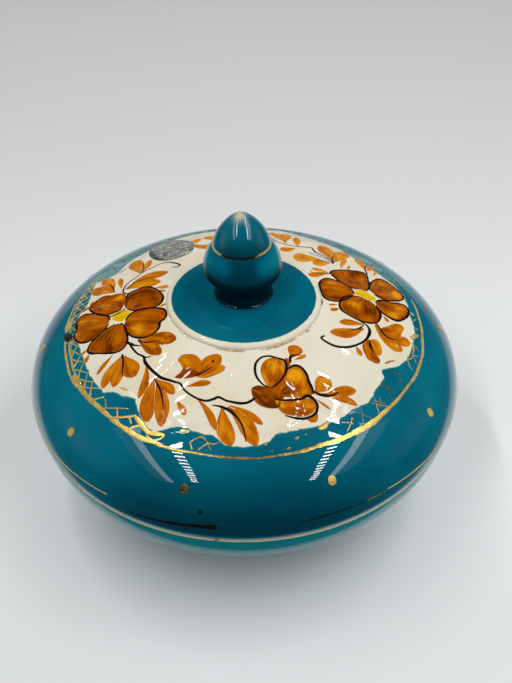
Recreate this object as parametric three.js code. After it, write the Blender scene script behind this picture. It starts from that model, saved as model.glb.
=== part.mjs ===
// Covered candy box of glazed earthenware: a round bowl on a foot ring, a domed lid with a
// ring of low petals in relief, a turned knob stuck on the lid, and a small oval foil label.
// Millimetres, +Z up. The origin is the centre of the surface that the foot ring stands on.
import * as THREE from "three";

// Facets round the box and round the knob
const FACETS = 48;
const KNOB_FACETS = 28;

// Bowl
const BOWL_RADIUS = 89.1; // outside, at the rim
const WALL = 4.5; // thickness of the clay in the bowl and the lid
const SIDE_BEND = 26; // outer radius of the bend under the rim
const SIDE_TURN = 36; // degrees that this bend turns through
const BELLY_BEND = 60; // outer radius of the slower bend that leads to the foot
const FOOT_RADIUS = 50;
const FOOT_WIDTH = 6;
const FOOT_HEIGHT = 5;
const FOOT_ROUND = 1;
const FLOOR_INSET = 2; // the flat floor inside is this much narrower than the foot
const FLOOR_THICKNESS = 5;
const RIM_ROUND = 1;

// Lid
const SIDE_PROUD = 0.9; // how far the lid's widest line stands out over the bowl's side
const SIDE_RISE = 3; // that line above the seam
const LIP_ROUND = 1.8; // how far the lid's edge draws in below its widest line
const SHOULDER_REACH = 30; // half axes of the elliptical shoulder
const SHOULDER_HEIGHT = 25.1;
const SHOULDER_WIDTH = 16.65; // from the widest line in to the shallow painted band
const BAND_RISE = 13.35; // rise of the band from there to the foot of the disc
const BAND_CROWN = 0.96; // how far its middle stands over a straight line
const DISC_RADIUS = 29.2; // the disc that carries the knob
const DISC_CROWN = 2.4; // rise from the disc's edge to the knob's seat
const SEAT_MARGIN = 1.2; // the flat seat round the knob's foot
const DISC_STEP = 1.8; // height of its rounded edge
const STEP_WIDTH = 2.1;
const SEAT_THICKNESS = 4;
const FLANGE_DROP = 5; // the locating flange below the seam
const FLANGE_WALL = 3;
const FLANGE_CLEARANCE = 2; // between the flange and the bowl's inner wall
const CORNER_ROUND = 0.8;

// Petals in low relief on the lid's band
const PETALS = 12;
const PETAL_TURN = 22; // degrees from the +X axis to the first valley between two petals
const PETAL_RISE = 0.8;
const PETAL_TIP_INSET = 6; // from the band's outer line to the tip of a petal
const PETAL_SCALLOP = 7; // how much shorter a petal is at its two sides
const PETAL_EDGE = 4; // width of the slope at the tip
const PETAL_FADE = 12; // stretch over which the relief grows, from the disc outwards
const PETAL_SQUARENESS = 2.6; // flat top and steep sides at high values

// Knob
const KNOB_FOOT_RADIUS = 11.8;
const KNOB_NECK_RADIUS = 10.9;
const KNOB_NECK_HEIGHT = 1;
const KNOB_BULGE_RADIUS = 15.4;
const KNOB_BULGE_HEIGHT = 12.7;
const KNOB_SWELL = 3; // how late the neck swells into the collar
const KNOB_CREASE_RADIUS = 11.2;
const KNOB_CREASE_HEIGHT = 23.5;
const KNOB_HEIGHT = 36.8;
const KNOB_CONE = 1.5; // the dome's sides: straighter at low values
const KNOB_TIP = 0.7; // its tip: a half is round, and 1 is pointed
const KNOB_LEAN = 1.3; // degrees, towards -X
const LEAN_START = 3; // height over which the lean sets in, above the flat foot

// Foil label
const FOIL_INSET = 17.35; // from the band's outer line to the label's centre
const FOIL_AZIMUTH = 125; // degrees
const FOIL_LENGTH = 27;
const FOIL_WIDTH = 20.5;
const FOIL_TURN = 100; // degrees of its long axis
const FOIL_THICKNESS = 0.25;
const FOIL_GAP = 0.3;
const FOIL_RINGS = 4;
const FOIL_SPOKES = 20;

const CURVE_STEPS = 5; // points on each large curve of a profile
const ROUND_STEPS = 2; // points on each small one

const radians = THREE.MathUtils.degToRad;
const point = (r, z) => new THREE.Vector2(r, z);

// Heights that follow from the bowl's two bends
const bendCentre = BOWL_RADIUS - SIDE_BEND;
const turn = radians(SIDE_TURN);
const bellyCentre = bendCentre + (SIDE_BEND - BELLY_BEND) * Math.cos(turn);
const bellyLift = (BELLY_BEND - SIDE_BEND) * Math.sin(turn); // its centre above the bend's
const footAngle = Math.acos((FOOT_RADIUS - bellyCentre) / BELLY_BEND);
const bendHeight = FOOT_HEIGHT + BELLY_BEND * Math.sin(footAngle) - bellyLift;
const bellyHeight = bendHeight + bellyLift;
const SEAM = bendHeight + RIM_ROUND;

const innerBelly = BELLY_BEND - WALL;
const floorRadius = FOOT_RADIUS - FLOOR_INSET;
const floorAngle = Math.acos((floorRadius - bellyCentre) / innerBelly);
const floorHeight = bellyHeight - innerBelly * Math.sin(floorAngle);
const recessHeight = floorHeight - FLOOR_THICKNESS;
const mouthRadius = BOWL_RADIUS - WALL;
const flangeRadius = mouthRadius - FLANGE_CLEARANCE;

// Heights of the lid above the seam
const sideHeight = SEAM + SIDE_RISE;
const lidRadius = BOWL_RADIUS + SIDE_PROUD;
const bandRadius = lidRadius - SHOULDER_WIDTH;
const shoulderCentre = lidRadius - SHOULDER_REACH;
const bandAngle = Math.acos((bandRadius - shoulderCentre) / SHOULDER_REACH);
const bandHeight = sideHeight + SHOULDER_HEIGHT * Math.sin(bandAngle);
const bandTopRadius = DISC_RADIUS + STEP_WIDTH;
const bandTopHeight = bandHeight + BAND_RISE;
const discEdgeHeight = bandTopHeight + DISC_STEP;
const knobSeatRadius = KNOB_FOOT_RADIUS + SEAT_MARGIN;
const knobSeatHeight = discEdgeHeight + DISC_CROWN;

// Points on an ellipse, from one angle to another, both in radians
function ellipse(centre, reach, rise, from, to, steps) {
  return Array.from({ length: steps + 1 }, (_, i) => {
    const a = from + ((to - from) * i) / steps;
    return point(centre.x + reach * Math.cos(a), centre.y + rise * Math.sin(a));
  });
}

function arc(centre, radius, from, to, steps) {
  return ellipse(centre, radius, radius, from, to, steps);
}

// Height of the plain band at a radius: the petals and the label lie on it too
function bandSurface(r) {
  const t = (bandRadius - r) / (bandRadius - bandTopRadius);
  return bandHeight + BAND_RISE * t + 4 * BAND_CROWN * t * (1 - t);
}

// Points on the band, from one radius to another, lowered by a wall or by nothing
function bandLine(from, to, lowered) {
  const steps = 2 * CURVE_STEPS;
  return Array.from({ length: steps + 1 }, (_, i) => {
    const r = from + ((to - from) * i) / steps;
    return point(r, bandSurface(r) - lowered);
  });
}

// Points on the crown of the disc, from its edge to the knob's flat seat
function discCrown(radius, lowered) {
  return Array.from({ length: CURVE_STEPS + 1 }, (_, i) => {
    const t = 1 - i / CURVE_STEPS;
    const r = knobSeatRadius + (radius - knobSeatRadius) * t;
    return point(r, knobSeatHeight - lowered - DISC_CROWN * t * t);
  });
}

function smooth(t) {
  const s = THREE.MathUtils.clamp(t, 0, 1);
  return s * s * (3 - 2 * s);
}

// Height of the petals above the plain band, at a radius and an azimuth in radians
function relief(r, azimuth) {
  const pitch = (2 * Math.PI) / PETALS;
  const along = (azimuth - radians(PETAL_TURN)) / pitch;
  const across = 2 * (along - Math.floor(along)) - 1;
  const tip = bandRadius - PETAL_TIP_INSET - PETAL_SCALLOP * across * across;
  const crown = 1 - Math.abs(across) ** PETAL_SQUARENESS;
  return PETAL_RISE * crown * smooth((tip - r) / PETAL_EDGE) * smooth((r - bandTopRadius) / PETAL_FADE);
}

// A mesh turned about +Z from a profile of radius and height
function turned(profile, facets, startDegrees) {
  const geometry = new THREE.LatheGeometry(profile, facets, radians(startDegrees));
  return geometry.rotateX(Math.PI / 2);
}

function bowlProfile() {
  const bend = point(bendCentre, bendHeight);
  const belly = point(bellyCentre, bellyHeight);
  const footInner = FOOT_RADIUS - FOOT_WIDTH;
  const rim = (r) => point(r, bendHeight);
  return [
    point(0, recessHeight),
    point(footInner, recessHeight),
    ...arc(point(footInner + FOOT_ROUND, FOOT_ROUND), FOOT_ROUND, Math.PI, 1.5 * Math.PI, ROUND_STEPS),
    ...arc(point(FOOT_RADIUS - FOOT_ROUND, FOOT_ROUND), FOOT_ROUND, -Math.PI / 2, 0, ROUND_STEPS),
    ...arc(belly, BELLY_BEND, -footAngle, -turn, CURVE_STEPS),
    ...arc(bend, SIDE_BEND, -turn, 0, CURVE_STEPS).slice(1),
    ...arc(rim(BOWL_RADIUS - RIM_ROUND), RIM_ROUND, 0, Math.PI / 2, ROUND_STEPS).slice(1),
    ...arc(rim(mouthRadius + RIM_ROUND), RIM_ROUND, Math.PI / 2, Math.PI, ROUND_STEPS),
    ...arc(bend, SIDE_BEND - WALL, 0, -turn, CURVE_STEPS).slice(1),
    ...arc(belly, innerBelly, -turn, -floorAngle, CURVE_STEPS).slice(1),
    point(0, floorHeight),
  ];
}

function makeBowl() {
  return turned(bowlProfile(), FACETS, PETAL_TURN);
}

// The lid's outside, from the seam up to the axis
function lidOutside() {
  const lip = point(lidRadius - LIP_ROUND, sideHeight);
  const shoulder = point(shoulderCentre, sideHeight);
  const step = point(DISC_RADIUS, bandTopHeight);
  return [
    ...ellipse(lip, LIP_ROUND, SIDE_RISE, -Math.PI / 2, 0, ROUND_STEPS),
    ...ellipse(shoulder, SHOULDER_REACH, SHOULDER_HEIGHT, 0, bandAngle, CURVE_STEPS).slice(1),
    ...bandLine(bandRadius, bandTopRadius, 0).slice(1),
    ...ellipse(step, STEP_WIDTH, DISC_STEP, 0, Math.PI / 2, ROUND_STEPS).slice(1),
    ...discCrown(DISC_RADIUS, 0).slice(1),
    point(0, knobSeatHeight),
  ];
}

// The lid's inside, from the axis down to the flange's foot: one wall below the outside
function lidInside() {
  const seat = SEAM + SEAT_THICKNESS;
  const innerReach = SHOULDER_REACH - WALL;
  const innerRise = SHOULDER_HEIGHT - WALL;
  const seatAngle = Math.asin((seat + CORNER_ROUND - sideHeight) / innerRise);
  const flange = flangeRadius - FLANGE_WALL;
  const shoulder = point(shoulderCentre, sideHeight);
  const corner = point(flange + CORNER_ROUND, seat - CORNER_ROUND);
  return [
    point(0, knobSeatHeight - WALL),
    ...discCrown(DISC_RADIUS - STEP_WIDTH, WALL).reverse(),
    ...bandLine(DISC_RADIUS, shoulder.x + innerReach * Math.cos(bandAngle), WALL),
    ...ellipse(shoulder, innerReach, innerRise, bandAngle, seatAngle, CURVE_STEPS).slice(1),
    point(shoulder.x + innerReach * Math.cos(seatAngle) - CORNER_ROUND, seat),
    ...arc(corner, CORNER_ROUND, Math.PI / 2, Math.PI, ROUND_STEPS),
    ...flangeFoot(flange),
  ];
}

function flangeFoot(inner) {
  const foot = SEAM - FLANGE_DROP + CORNER_ROUND;
  return [
    ...arc(point(inner + CORNER_ROUND, foot), CORNER_ROUND, Math.PI, 1.5 * Math.PI, ROUND_STEPS),
    ...arc(point(flangeRadius - CORNER_ROUND, foot), CORNER_ROUND, -Math.PI / 2, 0, ROUND_STEPS),
    point(flangeRadius, SEAM),
  ];
}

// Lifts the points of the lid's outer band by the petals' height
function raisePetals(geometry) {
  const position = geometry.getAttribute("position");
  for (let i = 0; i < position.count; i++) {
    const r = Math.hypot(position.getX(i), position.getY(i));
    const onBand = r > bandTopRadius && r < bandRadius;
    if (!onBand || position.getZ(i) < bandSurface(r) - WALL / 2) continue;
    const azimuth = Math.atan2(position.getY(i), position.getX(i));
    position.setZ(i, position.getZ(i) + relief(r, azimuth));
  }
  return geometry;
}

function makeLid() {
  const profile = [...lidOutside(), ...lidInside()];
  return raisePetals(turned([...profile, profile[0]], FACETS, PETAL_TURN));
}

// The knob: a flared foot, a full round collar and a pointed dome above a crease
function knobProfile() {
  const neck = point(KNOB_FOOT_RADIUS, KNOB_NECK_HEIGHT);
  const flare = KNOB_FOOT_RADIUS - KNOB_NECK_RADIUS;
  const swell = KNOB_BULGE_RADIUS - KNOB_NECK_RADIUS;
  const collar = KNOB_CREASE_HEIGHT - KNOB_BULGE_HEIGHT;
  const creaseAngle = Math.acos(KNOB_CREASE_RADIUS / KNOB_BULGE_RADIUS);
  const dome = KNOB_HEIGHT - KNOB_CREASE_HEIGHT;
  const domeSteps = 2 * CURVE_STEPS;
  return [
    point(0, 0),
    ...ellipse(neck, flare, KNOB_NECK_HEIGHT, 1.5 * Math.PI, Math.PI, ROUND_STEPS),
    ...Array.from({ length: CURVE_STEPS }, (_, i) => {
      const t = (i + 1) / CURVE_STEPS;
      const r = KNOB_NECK_RADIUS + swell * Math.sin((t * Math.PI) / 2) ** KNOB_SWELL;
      return point(r, KNOB_NECK_HEIGHT + (KNOB_BULGE_HEIGHT - KNOB_NECK_HEIGHT) * t);
    }),
    ...ellipse(
      point(0, KNOB_BULGE_HEIGHT),
      KNOB_BULGE_RADIUS,
      collar / Math.sin(creaseAngle),
      0,
      creaseAngle,
      CURVE_STEPS,
    ).slice(1),
    ...Array.from({ length: domeSteps }, (_, i) => {
      const t = Math.sin(((i + 1) / domeSteps) * (Math.PI / 2));
      const r = KNOB_CREASE_RADIUS * Math.max(0, 1 - t ** KNOB_CONE) ** KNOB_TIP;
      return point(i + 1 < domeSteps ? r : 0, KNOB_CREASE_HEIGHT + dome * t);
    }),
  ];
}

// Tips the knob a little to one side, as it was set by hand. Its foot stays flat on the seat.
function lean(geometry) {
  const position = geometry.getAttribute("position");
  const slope = Math.tan(radians(KNOB_LEAN));
  for (let i = 0; i < position.count; i++) {
    const x = position.getX(i);
    const z = position.getZ(i);
    position.setX(i, x - slope * z);
    position.setZ(i, z + slope * x * Math.min(1, z / LEAN_START));
  }
  return geometry;
}

function makeKnob() {
  return lean(turned(knobProfile(), KNOB_FACETS, 0));
}

// A point of the label, at a share of its size and an angle round it, above the lid's surface
function foilPoint(share, angle, lift) {
  const long = radians(FOIL_TURN);
  const u = (FOIL_LENGTH / 2) * share * Math.cos(angle);
  const v = (FOIL_WIDTH / 2) * share * Math.sin(angle);
  const centre = bandRadius - FOIL_INSET;
  const x = centre * Math.cos(radians(FOIL_AZIMUTH)) + u * Math.cos(long) - v * Math.sin(long);
  const y = centre * Math.sin(radians(FOIL_AZIMUTH)) + u * Math.sin(long) + v * Math.cos(long);
  const r = Math.hypot(x, y);
  return [x, y, bandSurface(r) + relief(r, Math.atan2(y, x)) + lift];
}

// The label follows the lid: a lower and an upper skin of rings, joined round the edge
function makeFoil() {
  const skins = [FOIL_GAP, FOIL_GAP + FOIL_THICKNESS];
  const vertices = [];
  const faces = [];
  const skinSize = 1 + FOIL_RINGS * FOIL_SPOKES;
  const at = (skin, ring, spoke) =>
    skin * skinSize + (ring === 0 ? 0 : 1 + (ring - 1) * FOIL_SPOKES + (spoke % FOIL_SPOKES));
  for (const lift of skins) {
    vertices.push(...foilPoint(0, 0, lift));
    for (let ring = 1; ring <= FOIL_RINGS; ring++)
      for (let spoke = 0; spoke < FOIL_SPOKES; spoke++)
        vertices.push(...foilPoint(ring / FOIL_RINGS, (2 * Math.PI * spoke) / FOIL_SPOKES, lift));
  }
  const quad = (a, b, c, d) => faces.push(a, b, c, a, c, d);
  for (let s = 0; s < FOIL_SPOKES; s++) {
    faces.push(at(1, 0, 0), at(1, 1, s), at(1, 1, s + 1), at(0, 0, 0), at(0, 1, s + 1), at(0, 1, s));
    for (let ring = 1; ring < FOIL_RINGS; ring++) {
      quad(at(1, ring, s), at(1, ring + 1, s), at(1, ring + 1, s + 1), at(1, ring, s + 1));
      quad(at(0, ring, s), at(0, ring, s + 1), at(0, ring + 1, s + 1), at(0, ring + 1, s));
    }
    quad(at(1, FOIL_RINGS, s), at(0, FOIL_RINGS, s), at(0, FOIL_RINGS, s + 1), at(1, FOIL_RINGS, s + 1));
  }
  const geometry = new THREE.BufferGeometry();
  geometry.setAttribute("position", new THREE.Float32BufferAttribute(vertices, 3));
  return geometry.setIndex(faces);
}

const TEAL_GLAZE = new THREE.MeshStandardMaterial({ color: 0x04708a, roughness: 0.12, metalness: 0 });
const CREAM_GLAZE = new THREE.MeshStandardMaterial({ color: 0xf3e8d3, roughness: 0.15, metalness: 0 });
const WORN_FOIL = new THREE.MeshStandardMaterial({ color: 0x9c9b92, roughness: 0.45, metalness: 0.9 });

function named(name, geometry, material) {
  const mesh = new THREE.Mesh(geometry, material);
  mesh.name = name;
  return mesh;
}

const box = new THREE.Group();
box.add(named("bowl", makeBowl(), TEAL_GLAZE));

const cover = new THREE.Group();
cover.add(named("lid", makeLid(), CREAM_GLAZE));
const knob = named("knob", makeKnob(), TEAL_GLAZE);
knob.position.z = knobSeatHeight;
cover.add(knob);
cover.add(named("foil_label", makeFoil(), WORN_FOIL));
box.add(cover);

export default box;
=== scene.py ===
"""Covered candy box of glazed earthenware: its glazes, painting, gilding and wear.

Every piece is made in millimetres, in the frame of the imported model, and turned to metres
when its mesh is written. The profiles repeat the solid model's own sizes with finer steps.
"""
import math

import bpy
import numpy as np
from mathutils import Matrix, Vector

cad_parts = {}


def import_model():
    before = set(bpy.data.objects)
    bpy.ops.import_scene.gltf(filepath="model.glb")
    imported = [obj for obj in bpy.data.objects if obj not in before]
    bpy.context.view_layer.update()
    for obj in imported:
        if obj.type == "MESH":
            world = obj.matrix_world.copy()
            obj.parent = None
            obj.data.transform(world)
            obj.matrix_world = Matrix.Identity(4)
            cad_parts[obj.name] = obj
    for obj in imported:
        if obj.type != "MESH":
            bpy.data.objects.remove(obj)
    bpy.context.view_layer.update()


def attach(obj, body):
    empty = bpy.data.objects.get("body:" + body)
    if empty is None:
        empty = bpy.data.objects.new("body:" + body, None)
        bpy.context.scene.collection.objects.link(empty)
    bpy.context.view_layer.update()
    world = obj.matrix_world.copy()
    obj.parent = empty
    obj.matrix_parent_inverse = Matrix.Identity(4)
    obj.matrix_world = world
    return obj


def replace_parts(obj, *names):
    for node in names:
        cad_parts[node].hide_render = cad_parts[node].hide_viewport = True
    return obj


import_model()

MILLIMETRE = 0.001

# Sizes of the solid model, in millimetres and degrees
BOWL_RADIUS = 89.1
WALL = 4.5
SIDE_BEND = 26
SIDE_TURN = math.radians(36)
BELLY_BEND = 60
FOOT_RADIUS = 50
FOOT_WIDTH = 6
FOOT_HEIGHT = 5
FOOT_ROUND = 1
RECESS_ROUND = 1.5
FLOOR_INSET = 2
FLOOR_THICKNESS = 5
RIM_ROUND = 1
SIDE_PROUD = 0.9
SIDE_RISE = 3
LIP_ROUND = 1.8
SHOULDER_REACH = 30
SHOULDER_HEIGHT = 25.1
SHOULDER_WIDTH = 16.65
BAND_RISE = 13.35
BAND_CROWN = 0.96
DISC_RADIUS = 29.2
DISC_CROWN = 2.4
SEAT_MARGIN = 1.2
DISC_STEP = 1.8
STEP_WIDTH = 2.1
SEAT_THICKNESS = 4
FLANGE_DROP = 5
FLANGE_WALL = 3
FLANGE_CLEARANCE = 2
CORNER_ROUND = 0.8
PETALS = 12
PETAL_TURN = math.radians(22)
PETAL_RISE = 0.8
PETAL_TIP_INSET = 6
PETAL_SCALLOP = 7
PETAL_EDGE = 4
PETAL_FADE = 12
PETAL_SQUARENESS = 2.6
KNOB_FOOT_RADIUS = 11.8
KNOB_NECK_RADIUS = 10.9
KNOB_NECK_HEIGHT = 1
KNOB_BULGE_RADIUS = 15.4
KNOB_BULGE_HEIGHT = 12.7
KNOB_SWELL = 3
KNOB_CREASE_RADIUS = 11.2
KNOB_CREASE_HEIGHT = 23.5
KNOB_HEIGHT = 36.8
KNOB_CONE = 1.5
KNOB_TIP = 0.7
KNOB_LEAN = math.radians(1.3)
LEAN_START = 3
FOIL_INSET = 17.35
FOIL_AZIMUTH = 125
FOIL_LENGTH = 27
FOIL_WIDTH = 20.5
FOIL_TURN = 100

# How the coats lie on it
SHARP_EDGE = math.radians(40)
RIM_SUNK = 0.03
BACK_SUNK = 0.06
RING_SUNK = 0.08
FOIL_BACK = 0.12
FOIL_TOP = 0.42
FOIL_CURL = 0.16
QUARTER = math.pi / 2

# Radii, heights and angles that follow from them
bend_centre = BOWL_RADIUS - SIDE_BEND
belly_centre = bend_centre + (SIDE_BEND - BELLY_BEND) * math.cos(SIDE_TURN)
belly_lift = (BELLY_BEND - SIDE_BEND) * math.sin(SIDE_TURN)
foot_angle = math.acos((FOOT_RADIUS - belly_centre) / BELLY_BEND)
bend_height = FOOT_HEIGHT + BELLY_BEND * math.sin(foot_angle) - belly_lift
belly_height = bend_height + belly_lift
SEAM = bend_height + RIM_ROUND
inner_belly = BELLY_BEND - WALL
floor_angle = math.acos((FOOT_RADIUS - FLOOR_INSET - belly_centre) / inner_belly)
floor_height = belly_height - inner_belly * math.sin(floor_angle)
recess_height = floor_height - FLOOR_THICKNESS
mouth_radius = BOWL_RADIUS - WALL
flange_radius = mouth_radius - FLANGE_CLEARANCE
side_height = SEAM + SIDE_RISE
lid_radius = BOWL_RADIUS + SIDE_PROUD
band_radius = lid_radius - SHOULDER_WIDTH
shoulder_centre = lid_radius - SHOULDER_REACH
band_angle = math.acos((band_radius - shoulder_centre) / SHOULDER_REACH)
band_height = side_height + SHOULDER_HEIGHT * math.sin(band_angle)
band_top_radius = DISC_RADIUS + STEP_WIDTH
band_top_height = band_height + BAND_RISE
disc_edge_height = band_top_height + DISC_STEP
knob_seat_radius = KNOB_FOOT_RADIUS + SEAT_MARGIN
knob_seat_height = disc_edge_height + DISC_CROWN


# Profiles and surfaces

def ellipse(centre, reach, rise, start, end, steps):
    angles = np.linspace(start, end, steps + 1)
    return np.stack([centre[0] + reach * np.cos(angles), centre[1] + rise * np.sin(angles)], 1)


def arc(centre, radius, start, end, steps):
    return ellipse(centre, radius, radius, start, end, steps)


def smooth(t):
    t = np.clip(t, 0, 1)
    return t * t * (3 - 2 * t)


def band_surface(r):
    t = (band_radius - r) / (band_radius - band_top_radius)
    return band_height + BAND_RISE * t + 4 * BAND_CROWN * t * (1 - t)


def relief(r, azimuth):
    """Height of the low petals above the plain band."""
    along = (azimuth - PETAL_TURN) * PETALS / (2 * math.pi)
    across = 2 * (along - np.floor(along)) - 1
    tip = band_radius - PETAL_TIP_INSET - PETAL_SCALLOP * across * across
    crown = 1 - np.abs(across) ** PETAL_SQUARENESS
    rise = smooth((tip - r) / PETAL_EDGE) * smooth((r - band_top_radius) / PETAL_FADE)
    return PETAL_RISE * crown * rise


def lid_surface(x, y):
    """Height of the lid's outside over a place."""
    r = np.hypot(x, y)
    shoulder = np.clip(1 - ((r - shoulder_centre) / SHOULDER_REACH) ** 2, 0, 1)
    shoulder = side_height + SHOULDER_HEIGHT * np.sqrt(shoulder)
    band = band_surface(r) + relief(r, np.arctan2(y, x))
    step = np.clip(1 - ((r - DISC_RADIUS) / STEP_WIDTH) ** 2, 0, 1)
    step = band_top_height + DISC_STEP * np.sqrt(step)
    t = np.clip((r - knob_seat_radius) / (DISC_RADIUS - knob_seat_radius), 0, 1)
    disc = knob_seat_height - DISC_CROWN * t * t
    beyond = [r > band_radius, r > band_top_radius, r > DISC_RADIUS]
    return np.select(beyond, [shoulder, band, step], disc)


def bowl_profile():
    bend, belly = (bend_centre, bend_height), (belly_centre, belly_height)
    foot_inner = FOOT_RADIUS - FOOT_WIDTH
    recess_edge = foot_inner - RECESS_ROUND
    return np.concatenate([
        [(r, recess_height) for r in (0, 20, recess_edge)],
        arc((recess_edge, recess_height - RECESS_ROUND), RECESS_ROUND, QUARTER, 0, 5)[1:],
        arc((foot_inner + FOOT_ROUND, FOOT_ROUND), FOOT_ROUND, 2 * QUARTER, 3 * QUARTER, 6),
        arc((FOOT_RADIUS - FOOT_ROUND, FOOT_ROUND), FOOT_ROUND, -QUARTER, 0, 6),
        arc(belly, BELLY_BEND, -foot_angle, -SIDE_TURN, 36),
        arc(bend, SIDE_BEND, -SIDE_TURN, 0, 24)[1:],
        arc((BOWL_RADIUS - RIM_ROUND, bend_height), RIM_ROUND, 0, QUARTER, 8)[1:],
        arc((mouth_radius + RIM_ROUND, bend_height), RIM_ROUND, QUARTER, 2 * QUARTER, 8),
        arc(bend, SIDE_BEND - WALL, 0, -SIDE_TURN, 20)[1:],
        arc(belly, inner_belly, -SIDE_TURN, -floor_angle, 30)[1:],
        [(r, floor_height) for r in (44, 30, 15, 0)],
    ])


def disc_crown(radius, lowered, steps):
    t = np.linspace(1, 0, steps + 1)
    r = knob_seat_radius + (radius - knob_seat_radius) * t
    return np.stack([r, knob_seat_height - lowered - DISC_CROWN * t * t], 1)


def lid_outside():
    r = np.linspace(band_radius, band_top_radius, 91)[1:]
    shoulder = (shoulder_centre, side_height)
    return np.concatenate([
        ellipse((lid_radius - LIP_ROUND, side_height), LIP_ROUND, SIDE_RISE, -QUARTER, 0, 12),
        ellipse(shoulder, SHOULDER_REACH, SHOULDER_HEIGHT, 0, band_angle, 48)[1:],
        np.stack([r, band_surface(r)], 1),
        ellipse((DISC_RADIUS, band_top_height), STEP_WIDTH, DISC_STEP, 0, QUARTER, 10)[1:],
        disc_crown(DISC_RADIUS, 0, 20)[1:],
        [(6, knob_seat_height), (0, knob_seat_height)],
    ])


def lid_inside():
    seat = SEAM + SEAT_THICKNESS
    reach, rise = SHOULDER_REACH - WALL, SHOULDER_HEIGHT - WALL
    seat_angle = math.asin((seat + CORNER_ROUND - side_height) / rise)
    inner = flange_radius - FLANGE_WALL + CORNER_ROUND
    foot = SEAM - FLANGE_DROP + CORNER_ROUND
    r = np.linspace(DISC_RADIUS, shoulder_centre + reach * math.cos(band_angle), 30)
    return np.concatenate([
        [(0, knob_seat_height - WALL)],
        disc_crown(DISC_RADIUS - STEP_WIDTH, WALL, 10)[::-1],
        np.stack([r, band_surface(r) - WALL], 1),
        ellipse((shoulder_centre, side_height), reach, rise, band_angle, seat_angle, 24)[1:],
        [(shoulder_centre + reach * math.cos(seat_angle) - CORNER_ROUND, seat)],
        arc((inner, seat - CORNER_ROUND), CORNER_ROUND, QUARTER, 2 * QUARTER, 5),
        arc((inner, foot), CORNER_ROUND, 2 * QUARTER, 3 * QUARTER, 5),
        arc((flange_radius - CORNER_ROUND, foot), CORNER_ROUND, -QUARTER, 0, 5),
        [(flange_radius, SEAM - 0.6), (flange_radius, SEAM)],
    ])


def knob_profile():
    swell = KNOB_BULGE_RADIUS - KNOB_NECK_RADIUS
    flare = KNOB_FOOT_RADIUS - KNOB_NECK_RADIUS
    crease_angle = math.acos(KNOB_CREASE_RADIUS / KNOB_BULGE_RADIUS)
    collar = (KNOB_CREASE_HEIGHT - KNOB_BULGE_HEIGHT) / math.sin(crease_angle)
    t = np.linspace(0, 1, 25)[1:]
    neck = np.stack([
        KNOB_NECK_RADIUS + swell * np.sin(t * math.pi / 2) ** KNOB_SWELL,
        KNOB_NECK_HEIGHT + (KNOB_BULGE_HEIGHT - KNOB_NECK_HEIGHT) * t,
    ], 1)
    s = np.sin(np.linspace(0, math.pi / 2, 49))[1:]
    dome = np.stack([
        KNOB_CREASE_RADIUS * np.clip(1 - s ** KNOB_CONE, 0, 1) ** KNOB_TIP,
        KNOB_CREASE_HEIGHT + (KNOB_HEIGHT - KNOB_CREASE_HEIGHT) * s,
    ], 1)
    foot = (KNOB_FOOT_RADIUS, KNOB_NECK_HEIGHT)
    profile = np.concatenate([
        [(0, 0)],
        ellipse(foot, flare, KNOB_NECK_HEIGHT, 3 * QUARTER, 2 * QUARTER, 6),
        neck,
        ellipse((0, KNOB_BULGE_HEIGHT), KNOB_BULGE_RADIUS, collar, 0, crease_angle, 24)[1:],
        dome,
    ])
    profile[-1, 0] = 0
    return profile + (0, knob_seat_height)


def lean(points):
    """Tips points of the knob a little towards -X, above its flat foot."""
    x, y, z = np.transpose(points)
    up = z - knob_seat_height
    slope = math.tan(KNOB_LEAN)
    return np.stack([x - slope * up, y, z + slope * x * np.clip(up / LEAN_START, 0, 1)], 1)


# Meshes

def write_mesh(name, vertices, faces, material, body, attributes):
    """A piece from points in millimetres; attributes are numbers or vectors on its points."""
    mesh = bpy.data.meshes.new(name)
    mesh.from_pydata((vertices * MILLIMETRE).tolist(), [], faces)
    for key, values in attributes.items():
        values = np.asarray(values, np.float32)
        kind, field = ("FLOAT", "value") if values.ndim == 1 else ("FLOAT_VECTOR", "vector")
        mesh.attributes.new(key, kind, "POINT").data.foreach_set(field, values.ravel())
    mesh.polygons.foreach_set("use_smooth", [True] * len(mesh.polygons))
    mesh.set_sharp_from_angle(angle=SHARP_EDGE)
    mesh.materials.append(material)
    piece = bpy.data.objects.new(name, mesh)
    bpy.context.scene.collection.objects.link(piece)
    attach(piece, body)
    return piece


def turned(profile, segments, closed=False):
    """Points and faces of a profile turned about the axis, and the profile's index of each point."""
    turns = np.arange(segments) * 2 * math.pi / segments
    vertices, rings, index = [], [], []
    for k, (r, z) in enumerate(profile):
        count = segments if r > 1e-6 else 1
        rings.append([len(index) + i % count for i in range(segments)])
        vertices.extend(zip(r * np.cos(turns[:count]), r * np.sin(turns[:count]), [z] * count))
        index.extend([k] * count)
    faces = []
    for low, high in zip(rings, rings[1:] + (rings[:1] if closed else [])):
        for i in range(segments):
            j = (i + 1) % segments
            faces.append(tuple(dict.fromkeys([low[i], low[j], high[j], high[i]])))
    return np.array(vertices), faces, np.array(index)


def grid_faces(grid):
    """Faces between the rows and columns of a grid of point numbers."""
    corners = (grid[:-1, :-1], grid[1:, :-1], grid[1:, 1:], grid[:-1, 1:])
    return np.stack(corners, -1).reshape(-1, 4).tolist()


def on_lid(x, y, lift):
    return np.stack([x, y, lid_surface(x, y) + lift], -1)


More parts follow.
